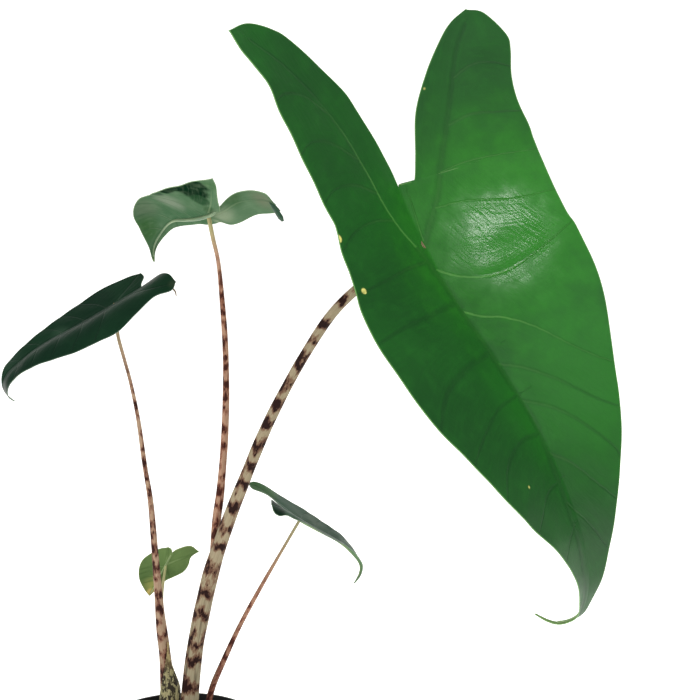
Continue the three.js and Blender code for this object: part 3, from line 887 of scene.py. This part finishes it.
def bend_blade(spec, side, across, along, lift):
    """Points in mm for flat places at a distance across and a length along, raised by lift."""
    steps = np.arange(-SPINE_REACH, SPINE_REACH + 1, 1.0)
    middle = (steps[1:] + steps[:-1]) / 2

    def slope(s):
        lobe = np.where(s < 0, ramp(spec["lobe"][side], s), 0)
        return np.radians(ramp(spec["bend"], s) + lobe)

    spine_y = np.concatenate([[0], np.cumsum(np.cos(slope(middle)))])
    spine_z = np.concatenate([[0], np.cumsum(-np.sin(slope(middle)))])
    origin = len(steps) // 2
    y = np.interp(along, steps, spine_y - spine_y[origin])
    z = np.interp(along, steps, spine_z - spine_z[origin])
    tilt = slope(along)
    fold = np.radians(ramp(spec["fold"][side], along))
    curl = ramp(spec["curl"][side], along)
    curl = np.where(np.abs(curl) < 1e-6, 1e-6, curl)
    end = fold + curl * across
    out = (np.sin(end) - np.sin(fold)) / curl - np.sin(end) * lift
    rise = (np.cos(fold) - np.cos(end)) / curl + np.cos(end) * lift
    local = np.stack([side * out, y + np.sin(tilt) * rise, z + np.cos(tilt) * rise], -1)
    return local @ turned(spec).T + np.array(spec["at"])


def sinus_row(spec, side):
    """Number of the inner outline's first point on the midrib."""
    return next(i for i, point in enumerate(spec["inner"][side]) if point[0] == 0)


def notch(spec):
    """Where the two lobes meet, as a length along the midrib."""
    return spec["inner"][1][sinus_row(spec, 1)][1]


def flat_half(spec, side, share_across, share_along):
    """Flat places of a half's grid and their distance from its edge. Its rows on the midrib are evenly
    spaced, so that both halves meet."""
    lobe_rows, body_rows = spec["rows"]
    inner = spec["inner"][side]
    outer = spec["outer"][side]
    rows = lobe_rows + body_rows
    row = np.rint(share_along * rows)
    start = sinus_row(spec, side) / (len(inner) - 1)
    dense = np.linspace(start, 1, 2000)
    dense_y = smooth_path(inner, dense)[:, 1]
    first, last = inner[sinus_row(spec, side)][1], inner[-1][1]
    want = first + (last - first) * np.clip((row - lobe_rows) / body_rows, 0, 1)
    t = np.where(row <= lobe_rows, start * row / lobe_rows, np.interp(want, dense_y, dense))
    a = smooth_path(inner, t)
    b = smooth_path(outer, t)
    on_rib = row >= lobe_rows
    a[on_rib, 0] = 0
    a[on_rib, 1] = want[on_rib]
    b[:, 0] = np.maximum(b[:, 0], a[:, 0] + LEAST_HALF_WIDTH)
    flat = a + (b - a) * share_across[:, None]
    width = np.linalg.norm(b - a, axis=1)
    to_outer = (1 - share_across) * width
    to_inner = np.where(row < lobe_rows, share_across * width, NOWHERE_NEAR)
    return flat[:, 0], flat[:, 1], np.minimum(to_outer, to_inner)


def vein_lines(spec):
    """The blade's veins as dense lines with width and paleness; where none are given, a plain set."""
    veins = spec.get("veins") or plain_veins(spec)
    lines = []
    for points, width, pale_start, pale_end in veins:
        count = max(6, int(np.sum(np.linalg.norm(np.diff(np.array(points, float), axis=0), axis=1)) / 3))
        lines.append((smooth_path(points, np.linspace(0, 1, count)), width, pale_start, pale_end))
    return lines


def plain_veins(spec):
    """Midrib, lobe ribs and evenly spaced side veins that bend towards the tip."""
    tip = spec["inner"][1][-1][1]
    veins = [(on_midrib(notch(spec), 0, tip * 0.5, tip * 0.97), 1.0, 0.5, 0.2)]
    for side in (1, -1):
        outer = spec["outer"][side]
        lobe_x, lobe_y = outer[0]
        rib = [(0, 0), (side * lobe_x * 0.32, lobe_y * 0.34), (side * lobe_x * 0.92, lobe_y * 0.88)]
        veins.append((rib, 0.7, 0.6, 0.1))
        for k in range(SIDE_VEINS):
            start = tip * (0.06 + 0.155 * k)
            half = np.interp(start + 8, [p[1] for p in outer], [p[0] for p in outer])
            ahead = 0.32 * half
            bow = (side * half * 0.5, start + ahead * 0.7)
            veins.append(([(0, start), bow, (side * half * 0.92, start + ahead * 2)], 0.45, 0.4, 0.0))
    return veins


def measure_veins(lines, x, y):
    """Signed distance to each vein and length along it, for flat places: arrays of veins by places."""
    flat = np.stack([x, y], 1)
    distance = np.empty((len(lines), len(x)))
    reach = np.empty((len(lines), len(x)))
    for k, (line, *_) in enumerate(lines):
        best = np.full(len(x), 1e9)
        signed = np.zeros(len(x))
        far = np.zeros(len(x))
        travelled = 0.0
        for a, b in zip(line[:-1], line[1:]):
            step = b - a
            size = np.linalg.norm(step)
            rel = flat - a
            t = np.clip(rel @ step / size**2, 0, 1)
            off = rel - t[:, None] * step
            d = np.linalg.norm(off, axis=1)
            cross = step[0] * rel[:, 1] - step[1] * rel[:, 0]
            nearer = d < best
            best = np.where(nearer, d, best)
            signed = np.where(nearer, np.where(cross < 0, -d, d), signed)
            far = np.where(nearer, travelled + t * size, far)
            travelled += size
        distance[k] = signed
        reach[k] = far / travelled
    return distance, reach


def relief(spec, lines, distance, x, y, rim):
    """How far the blade's face stands out: sunk veins, swollen fields between them, and a wavy margin."""
    widths = np.array([line[1] for line in lines])
    sunk = np.exp(-((np.abs(distance) / (spec["quilt_reach"] * (0.6 + 0.4 * widths[:, None]))) ** 2))
    swell = 1 - np.max(sunk * np.minimum(1, 0.35 + 0.65 * widths[:, None]), axis=0)
    wave = np.sin(y / 19 + 0.03 * x) * np.exp(-rim / 22)
    ripple = 0.35 * np.sin(x / 7.3 + y / 11.7) * np.sin(y / 6.1 - x / 13)
    return spec["quilt"] * (swell - 0.5) + spec["wave"] * (wave + ripple)


def store_veins(piece, distance, reach, lines):
    """Each face corner gets its own field's vein: signed distance, share along it, width and paleness."""
    mesh = piece.data
    corner = np.empty(len(mesh.loops), int)
    mesh.loops.foreach_get("vertex_index", corner)
    corner = corner.reshape(-1, 4)
    near = np.abs(distance)[:, corner].mean(axis=2).argmin(axis=0)
    pick = near[:, None]
    widths = np.array([line[1] for line in lines])
    starts = np.array([line[2] for line in lines])
    ends = np.array([line[3] for line in lines])
    d = distance[pick, corner]
    t = reach[pick, corner]
    pale = starts[pick] + (ends[pick] - starts[pick]) * np.clip((t - 0.25) / 0.45, 0, 1)
    width = np.broadcast_to(widths[pick], d.shape) * (1 - 0.55 * t)
    values = np.stack([d, t, width, pale], -1).astype(np.float32)
    layer = mesh.attributes.new("vein", "FLOAT_COLOR", "CORNER")
    layer.data.foreach_set("color", values.ravel())


def half_blade(name, spec, side, lines):
    piece, share_across, share_along = add_grid(name, spec["columns"], sum(spec["rows"]))
    outward = share_across if side > 0 else 1 - share_across
    across, along, rim = flat_half(spec, side, outward, share_along)
    distance, reach = measure_veins(lines, side * across, along)
    lift = relief(spec, lines, distance, side * across, along, rim)
    near_rib = np.clip(across / RIB_SHOULDER, 0, 1)
    place_vertices(piece, bend_blade(spec, side, across, along, lift * near_rib))
    point_attribute(piece, "flat", np.stack([side * across, along, 0 * along], 1))
    point_attribute(piece, "rim", rim)
    store_veins(piece, distance, reach, lines)
    return piece


def vein_group():
    """From stored veins: Dark and Pale lines, Groove for the bump, Grain along the veins, Net of cells."""
    tree, n, given, out = new_group(
        "leaf_veins",
        {"Vein": "vector", "Paleness": "value", "Flat": "vector"},
        dict.fromkeys(("Dark", "Pale", "Groove", "Grain", "Net"), "value"),
    )
    d, t, width = n.separate(given["Vein"])
    wobble = n.times(n.minus(n.noise(given["Flat"], 0.25, 2.0), 0.5), 0.8)
    away = n.math("ABSOLUTE", n.plus(d, wobble))
    share = n.math("DIVIDE", away, width)
    line = n.between(share, 0.55, 1.25, 1.0, 0.0)
    soft = n.between(share, 0.6, 3.6, 1.0, 0.0)
    n.put(out["Pale"], n.times(line, given["Paleness"]))
    n.put(out["Dark"], n.times(soft, n.minus(1.0, given["Paleness"])))
    n.put(out["Groove"], n.minus(1.0, n.between(share, 0.0, 2.4, 1.0, 0.0)))
    lengthwise = n.combine(n.times(d, 0.55), n.times(t, 3.0), 0.0)
    n.put(out["Grain"], n.noise(lengthwise, 1.0, 3.0, 0.55))
    inputs = {"Vector": given["Flat"], "Scale": 0.28}
    cells = n.add("ShaderNodeTexVoronoi", inputs, feature="DISTANCE_TO_EDGE")
    n.put(out["Net"], n.between(cells.outputs["Distance"], 0.0, 0.16))
    return tree


VEINS = vein_group()


def leaf_green(n, colours, patches, flat, fine, marks, rim):
    """Slightly uneven greens, with patches that are own spots or painted light, shade and sheen, vein lines
    and a pale rim.
    """
    broad = n.noise(flat, 0.015, 2.0)
    green = n.mix(n.between(broad, 0.38, 0.62), colours["deep"], colours["mid"])
    for x, y, radius, colour, amount in patches:
        ragged = n.times(n.minus(fine, 0.5), radius * 0.6)
        near = n.plus(n.vector("DISTANCE", flat, (x, y, 0.0)), ragged)
        start = radius * (0.6 if amount >= FIRM_AMOUNT else 0.15)
        green = n.mix(n.between(near, start, radius, amount, 0.0), green, colour)
    depth = colours["vein_depth"]
    for share, key in (
        (n.times(n.between(fine, 0.45, 0.75), 0.18), "light"),
        (n.between(marks["Net"], 0.0, 1.0, 0.05, 0.0), "line"),
        (n.times(n.between(marks["Grain"], 0.45, 0.7), 0.1), "light"),
        (n.times(marks["Dark"], depth), "line"),
        (n.times(marks["Pale"], depth), "pale"),
        (n.between(rim, MARGIN_WIDTH * 0.5, MARGIN_WIDTH * 2, 0.7, 0.0), "edge"),
    ):
        green = n.mix(share, green, colours[key])
    return green


def skin_height(n, flat, marks, groove):
    """Height of the wrinkled skin, with the veins as grooves, or as ridges where groove is below nought."""
    x, y, _ = n.separate(flat)
    across = n.plus(n.times(x, 0.5), n.times(y, 0.22))
    down = n.minus(n.times(y, 0.09), n.times(x, 0.04))
    crinkle = n.noise(n.combine(across, down, 0.0), 1.0, 3.0)
    height = n.plus(n.times(marks["Groove"], groove), n.times(marks["Grain"], 0.25))
    return n.plus(height, n.times(crinkle, 0.5))


def blade_finish(name, colours, patches, gloss, sheen, groove):
    """One face of a blade: its greens, its skin and a patch that is more or less glossy than the rest."""

    def build(n):
        flat = n.attribute("flat").outputs["Vector"]
        vein = n.attribute("vein")
        rim = n.attribute("rim").outputs["Fac"]
        marks = n.group(VEINS, Vein=vein.outputs["Vector"], Paleness=vein.outputs["Alpha"], Flat=flat)
        fine = n.noise(flat, 0.09, 3.0, 0.5)
        x, y, radius, polished, dull = gloss
        shine = n.plus(n.vector("DISTANCE", flat, (x, y, 0.0)), n.times(n.minus(fine, 0.5), radius))
        return {
            "Base Color": leaf_green(n, colours, patches, flat, fine, marks, rim),
            "Roughness": n.between(shine, radius * 0.6, radius * 1.3, polished, dull),
            "Normal": n.bump(skin_height(n, flat, marks, groove), 0.6, 0.0005),
            "Specular IOR Level": sheen,
        }

    return finish(name, build)


def rib_finish(name, colour, streak):
    """The raised rib under a blade: pale green with fine fibres."""

    def build(n):
        straight = n.attribute("straight").outputs["Vector"]
        fibre = n.stretched_noise(straight, (1.4, 1.4, 0.05), 3.0)
        return {
            "Base Color": n.mix(n.between(fibre, 0.35, 0.7), colour, streak),
            "Roughness": 0.45,
            "Normal": n.bump(fibre, 0.2, 0.0003),
        }

    return finish(name, build)


def blade_rib(name, spec):
    """The tapering rib under the blade."""
    s = np.linspace(notch(spec) + 2, spec["midrib"]["end"], 40)
    thick, thin = spec["midrib"]["radius"]
    radius = [(0, thick * 0.5), (0.08, thick), (1, thin)]
    line = bend_blade(spec, 1, np.zeros_like(s), s, -ramp(radius, np.linspace(0, 1, len(s))))
    return roll_stem(name, line, radius, step=2.5, sides=16)[0]


def blade_finishes(name, spec):
    """Finishes of a blade's upper face, lower face and margin."""
    upper, lower = spec["upper"], spec["lower"]
    gloss = spec.get("gloss", UPPER_FACE_GLOSS)
    below = spec.get("lower_patches", ())
    return (
        blade_finish("leaf_upper_face_" + name, upper, spec["patches"], gloss, spec["sheen"], 0.5),
        blade_finish("leaf_lower_face_" + name, lower, below, LOWER_FACE_GLOSS, 0.0, -0.5),
        rib_finish("leaf_margin_" + name, upper["edge"], upper["pale"]),
    )


def lobe_end(name, end):
    """A lobe's rolled or pointed end."""
    piece, _ = roll_stem("end_" + name, end["points"], end["radius"], step=0.4, sides=12)
    piece.data.materials.append(rib_finish("lobe_end_" + name, *end["colours"]))
    return piece


def make_blades():
    for name, spec in BLADES.items():
        lines = vein_lines(spec)
        blade = join([half_blade("blade_" + name, spec, side, lines) for side in (1, -1)])
        merge(blade)
        for material in blade_finishes(name, spec):
            blade.data.materials.append(material)
        apply_modifier(
            blade,
            "SOLIDIFY",
            thickness=BLADE_THICKNESS * MM,
            offset=0.0,
            material_offset=1,
            material_offset_rim=2,
        )
        rib = blade_rib("rib_" + name, spec)
        lower = spec["lower"]
        rib.data.materials.append(rib_finish("leaf_rib_" + name, lower["pale"], lower["mid"]))
        ends = [lobe_end(name, spec["end"])] if "end" in spec else []
        blade = join([blade, rib, *ends])
        smooth(blade, 50)
        belongs(blade, "blade_" + name)


# Sheath stub


STUB = {
    "foot": 88, "tip": 171,
    "centre": [(88, -7.2), (112, -7), (133, -5.6), (159, -6.2), (171, -6)],
    "depth": [(88, 6.5), (171, 6.2)],
    "radius": [(100, 6.4), (133, 7.2), (152, 5.6), (171, 4.4)],
    "from": [(120, -165), (171, -88)],
    "to": [(120, 40), (171, -78)],
}
STUB_THICKNESS = 0.7
STUB_COLUMNS = 36
STUB_ROWS = 80


def sheath_finish():
    """Dry sheath: straw and olive, with near-black blotches that break up between the fibres."""

    def build(n):
        place = n.attribute("straight").outputs["Vector"]
        blotch = n.stretched_noise(place, (0.5, 0.5, 0.22), 4.0, 0.65)
        fibre = n.stretched_noise(place, (2.4, 2.4, 0.12), 3.0)
        colour = n.mix(n.between(fibre, 0.35, 0.65), (118, 112, 76), (160, 152, 112))
        colour = n.mix(n.between(blotch, 0.46, 0.54), colour, (34, 26, 14))
        along = n.separate(place)[2]
        dry = n.between(along, 60, 83)
        colour = n.mix(n.times(dry, 0.7), colour, (150, 128, 84))
        return {"Base Color": colour, "Roughness": 0.75, "Normal": n.bump(fibre, 0.6, 0.0006)}

    return finish("dry_sheath", build)


def make_stub():
    piece, share_across, share_along = add_grid("sheath_stub", STUB_COLUMNS, STUB_ROWS)
    height = STUB["foot"] + (STUB["tip"] - STUB["foot"]) * share_along
    ragged = 1.5 * np.sin(share_across * 41) * (share_along > 0.995)
    start = np.radians(ramp(STUB["from"], height))
    end = np.radians(ramp(STUB["to"], height))
    angle = start + (end - start) * share_across
    fine_crease = 0.035 * np.sin(share_across * 19 + height / 21)
    broad_crease = 0.03 * np.sin(share_across * 7 - height / 9)
    r = ramp(STUB["radius"], height) * (1 + fine_crease + broad_crease)
    x, y = r * np.cos(angle), r * np.sin(angle)
    centre, depth = ramp(STUB["centre"], height), ramp(STUB["depth"], height)
    place_vertices(piece, np.stack([centre + x, depth + y, height + ragged], 1))
    point_attribute(piece, "straight", np.stack([x, y, height - STUB["foot"]], 1))
    apply_modifier(piece, "SOLIDIFY", thickness=STUB_THICKNESS * MM, offset=0.0)
    piece.data.materials.append(sheath_finish())
    smooth(piece, 50)
    belongs(piece, "sheath_stub")


# Pot


def inside_radius(z):
    top = POT_HEIGHT - RIM_BAND
    return BASE_RADIUS + (RIM_RADIUS - RIM_STEP - BASE_RADIUS) * z / top - POT_WALL


def plastic_finish():
    """Thin black plastic: fine moulding lines, faint dust and dull scuffs."""

    def build(n):
        place = n.add("ShaderNodeTexCoord").outputs["Object"]
        scuff = n.noise(place, 90.0, 5.0, 0.65)
        dust = n.noise(place, 22.0, 3.0)
        dusty = n.times(n.between(dust, 0.45, 0.75), 0.35)
        rings = n.stretched_noise(place, (4.0, 4.0, 900.0), 2.0)
        height = n.plus(n.times(rings, 0.5), n.times(scuff, 0.6))
        return {
            "Base Color": n.mix(dusty, (24, 24, 25), (52, 50, 46)),
            "Roughness": n.between(scuff, 0.35, 0.7, 0.36, 0.55),
            "Normal": n.bump(height, 0.25, 0.0004),
        }

    return finish("black_plastic", build)


def cut_drain_holes(pot):
    for i in range(DRAIN_HOLES):
        angle = 2 * math.pi * i / DRAIN_HOLES
        deselect()
        bpy.ops.mesh.primitive_cylinder_add(
            vertices=DRAIN_SIDES,
            radius=DRAIN_RADIUS * MM,
            depth=DRAIN_CUT_DEPTH * MM,
            location=(DRAIN_CIRCLE * math.cos(angle) * MM, DRAIN_CIRCLE * math.sin(angle) * MM, 0),
        )
        cutter = named("drain_cutter")
        apply_modifier(pot, "BOOLEAN", object=cutter, operation="DIFFERENCE", solver="EXACT")
        bpy.data.objects.remove(cutter)


def make_pot():
    """A ring drawn up into the wall, over the rim and back down to the floor, then holed and rounded."""
    top = POT_HEIGHT - RIM_BAND
    wall = RIM_RADIUS - RIM_STEP
    recess = 1.2
    profile = [
        (BASE_RADIUS - 8, recess), (BASE_RADIUS - 4, 0), (BASE_RADIUS - 1.2, 0), (BASE_RADIUS, 1.4),
        (wall, top), (RIM_RADIUS, top + 1), (RIM_RADIUS, POT_HEIGHT - 0.6), (RIM_RADIUS - 0.5, POT_HEIGHT),
        (RIM_RADIUS - POT_WALL, POT_HEIGHT), (RIM_RADIUS - POT_WALL - 0.1, top + 3),
        (inside_radius(top), top), (inside_radius(POT_FLOOR + 1), POT_FLOOR + 1),
        (inside_radius(POT_FLOOR) - 1.5, POT_FLOOR),
    ]
    deselect()
    radius = 6.0
    bpy.ops.mesh.primitive_circle_add(vertices=POT_SIDES, radius=radius * MM, location=(0, 0, recess * MM))
    pot = named("pot")
    bpy.ops.object.transform_apply(location=True, rotation=False, scale=False)
    edit(pot)
    height = recess
    for r, z in profile + [(radius, POT_FLOOR)]:
        bpy.ops.mesh.extrude_region_move(TRANSFORM_OT_translate={"value": (0, 0, (z - height) * MM)})
        scale = r / radius
        bpy.ops.transform.resize(value=(scale, scale, 1), center_override=(0, 0, z * MM))
        radius = r
        height = z
    leave_edit()
    close_ends(pot)
    face_outwards(pot)
    cut_drain_holes(pot)
    sharp = math.radians(25)
    apply_modifier(
        pot, "BEVEL", width=EDGE_ROUNDING * MM, segments=2, limit_method="ANGLE", angle_limit=sharp
    )
    pot.data.materials.append(plastic_finish())
    smooth(pot, 35)
    belongs(pot, "pot")


# Soil


def soil_finish(name, dark, mid, light):
    """Moist potting mix: dark fibres with paler crumbs."""

    def build(n):
        place = n.add("ShaderNodeTexCoord").outputs["Object"]
        clod = n.noise(place, 160.0, 6.0, 0.7)
        crumb = n.noise(place, 620.0, 4.0, 0.65)
        colour = n.mix(n.between(clod, 0.36, 0.64), dark, mid)
        colour = n.mix(n.times(n.between(crumb, 0.52, 0.74), 0.6), colour, light)
        height = n.plus(clod, n.times(crumb, 0.6))
        return {
            "Base Color": colour,
            "Roughness": n.between(clod, 0.3, 0.7, 0.72, 0.95),
            "Normal": n.bump(height, 0.9, 0.0015),
        }

    return finish(name, build)


def soil_top(x, y):
    """Height in mm of the soil's surface: crowned, lumpy, a little lower along the wall."""
    share = math.hypot(x, y) / inside_radius(SOIL_LEVEL)
    lumps = noise.fractal(Vector((x / LUMP_SPACING, y / LUMP_SPACING, 3.3)), 0.8, 2.1, 4) * LUMP_HEIGHT
    return SOIL_LEVEL + SOIL_CROWN * (1 - share * share) + lumps * (1 - share**8) - 1.0


def make_soil():
    """A disc of soil with its own wall and underside."""
    piece, around, share = add_grid("soil", SOIL_SIDES, SOIL_RINGS)
    row = np.rint(share * SOIL_RINGS).astype(int)
    surface_rows = SOIL_RINGS - SOIL_WALL_RINGS
    points = np.empty((len(row), 3))
    bottom = POT_FLOOR + SOIL_GAP
    for i, (k, turn) in enumerate(zip(row, around)):
        angle = 2 * math.pi * turn
        if k <= surface_rows:
            r = k / surface_rows * (inside_radius(SOIL_LEVEL) - SOIL_GAP)
            z = soil_top(r * math.cos(angle), r * math.sin(angle))
        elif k < SOIL_RINGS:
            part = (k - surface_rows) / (SOIL_RINGS - 1 - surface_rows)
            z = SOIL_LEVEL - 2 + (bottom - SOIL_LEVEL + 2) * part
            r = inside_radius(z) - SOIL_GAP
        else:
            r = 0
            z = bottom
        points[i] = (r * math.cos(angle), r * math.sin(angle), z)
    place_vertices(piece, points)
    merge(piece)
    face_outwards(piece)
    mix = soil_finish("potting_mix", (26, 19, 14), (50, 37, 26), (92, 72, 50))
    piece.data.materials.append(mix)
    smooth(piece, 180)
    belongs(piece, "soil")


def crumb(name, size):
    """One rounded, broken lump to copy."""
    deselect()
    bpy.ops.mesh.primitive_ico_sphere_add(subdivisions=2, radius=size * MM, location=(0, 0, 0))
    piece = named(name)
    for vertex in piece.data.vertices:
        bump = noise.noise(vertex.co / (size * MM) * 1.4 + Vector((size, 0, 0)))
        vertex.co *= 1 + 0.45 * bump
    return piece


def open_soil(rng):
    """A place on the soil that is clear of the stalks."""
    feet = [PETIOLES[k]["points"][1] for k in ("main", "left", "right", "small")]
    while True:
        r = (inside_radius(SOIL_LEVEL) - WALL_CLEARANCE) * math.sqrt(rng.random())
        angle = rng.uniform(0, 2 * math.pi)
        x, y = r * math.cos(angle), r * math.sin(angle)
        if all(math.hypot(x - foot[0], y - foot[1]) > STEM_CLEARANCE for foot in feet):
            return x, y


def scatter(name, lump, count, stretch, seed, material):
    """Copies of a lump laid on the soil, each turned and stretched its own way, joined in one piece."""
    rng = random.Random(seed)
    copies = []
    for _ in range(count):
        x, y = open_soil(rng)
        scale = [rng.uniform(*span) for span in stretch]
        copy = lump.copy()
        copy.data = lump.data.copy()
        bpy.context.collection.objects.link(copy)
        tilt_x = Matrix.Rotation(rng.uniform(-LUMP_TILT, LUMP_TILT), 4, "X")
        tilt_y = Matrix.Rotation(rng.uniform(-LUMP_TILT, LUMP_TILT), 4, "Y")
        turn = Matrix.Rotation(rng.uniform(0, 2 * math.pi), 4, "Z")
        place = Matrix.Translation((x * MM, y * MM, (soil_top(x, y) + scale[2] * LUMP_LIFT_SHARE) * MM))
        copy.data.transform(place @ turn @ (tilt_x @ tilt_y) @ Matrix.Diagonal((*scale, 1)))
        copies.append(copy)
    bpy.data.objects.remove(lump)
    piece = join(copies)
    piece.name = piece.data.name = name
    piece.data.materials.clear()
    piece.data.materials.append(material)
    smooth(piece, 30)
    belongs(piece, "soil")


def make_litter():
    bark = soil_finish("bark_chips", (40, 26, 17), (84, 56, 36), (128, 92, 60))
    scatter("bark_chips", crumb("bark_chip", 1.0), CHIPS, CHIP_STRETCH, 4, bark)
    pumice = soil_finish("perlite", (176, 172, 160), (214, 211, 200), (236, 234, 226))
    scatter("perlite_grains", crumb("perlite_grain", 0.9), GRAINS, GRAIN_STRETCH, 9, pumice)


# Surroundings: floor, light and camera
FLOOR_SIZE_M = 8
FLOOR_RISE_M = 5
FLOOR_SWEEP_M = 1.5
LIGHT_TARGET_M = (0.06, -0.02, 0.34)


def make_floor():
    """A pale floor that sweeps up behind the plant."""
    deselect()
    bpy.ops.mesh.primitive_plane_add(size=FLOOR_SIZE_M, location=(0, 0, 0))
    floor = named("floor")
    edit(floor)
    bpy.ops.mesh.select_mode(type="EDGE")
    bpy.ops.mesh.select_all(action="DESELECT")
    leave_edit()
    for edge in floor.data.edges:
        edge.select = all(floor.data.vertices[i].co.y > 1 for i in edge.vertices)
    bpy.ops.object.mode_set(mode="EDIT")
    bpy.ops.mesh.extrude_region_move(TRANSFORM_OT_translate={"value": (0, 0, FLOOR_RISE_M)})
    leave_edit()
    apply_modifier(floor, "BEVEL", width=FLOOR_SWEEP_M, segments=12, limit_method="ANGLE")
    smooth(floor, 60)

    def build(n):
        place = n.add("ShaderNodeTexCoord").outputs["Object"]
        tone = n.noise(place, 1.3, 2.0)
        return {
            "Base Color": n.mix(tone, (250, 249, 246), (244, 243, 240)),
            "Roughness": 0.9,
            "Emission Color": (1.0, 0.995, 0.98, 1.0),
            "Emission Strength": 0.6,
            "Specular IOR Level": 0.1,
        }

    floor.data.materials.append(finish("pale_floor", build))


def add_light(name, azimuth, elevation, distance, size, power, glossy=False):
    """A soft square light aimed at the plant; azimuth is to the right of the front."""
    a, e = math.radians(azimuth), math.radians(elevation)
    away = Vector((math.sin(a) * math.cos(e), -math.cos(a) * math.cos(e), math.sin(e)))
    light = bpy.data.lights.new(name, "AREA")
    light.size = size
    light.energy = power
    lamp = bpy.data.objects.new(name, light)
    lamp.visible_glossy = glossy
    lamp.location = Vector(LIGHT_TARGET_M) + away * distance
    lamp.rotation_euler = (-away).to_track_quat("-Z", "Y").to_euler()
    bpy.context.collection.objects.link(lamp)


def make_light():
    add_light("low_glint", 29, 28, 1.7, 0.08, 2.4, glossy=True)
    add_light("high_glint", 22, 52, 1.75, 0.08, 1.6, glossy=True)
    add_light("front_soft", 30, 40, 1.7, 0.9, 20)
    add_light("left_fill", -62, 16, 1.9, 1.3, 20)
    add_light("top_soft", 150, 72, 2.0, 1.6, 20)
    world = bpy.data.worlds.new("studio")
    bpy.context.scene.world = world
    world.use_nodes = True
    background = world.node_tree.nodes["Background"]
    background.inputs["Color"].default_value = (1.0, 1.0, 1.0, 1.0)
    background.inputs["Strength"].default_value = 0.32


def make_camera():
    camera = bpy.data.cameras.new("camera")
    camera.lens = LENS_MM
    camera.sensor_width = SENSOR_MM
    camera.clip_start = 0.01
    holder = bpy.data.objects.new("camera", camera)
    holder.location = Vector(EYE_MM) * MM
    holder.rotation_euler = (math.radians(90 - LOOK_DOWN_DEG), 0, 0)
    bpy.context.collection.objects.link(holder)
    bpy.context.scene.camera = holder


bpy.context.scene.view_settings.view_transform = "Standard"
make_camera()
make_light()
make_floor()
make_pot()
make_soil()
make_litter()
make_petioles()
make_blades()
make_stub()
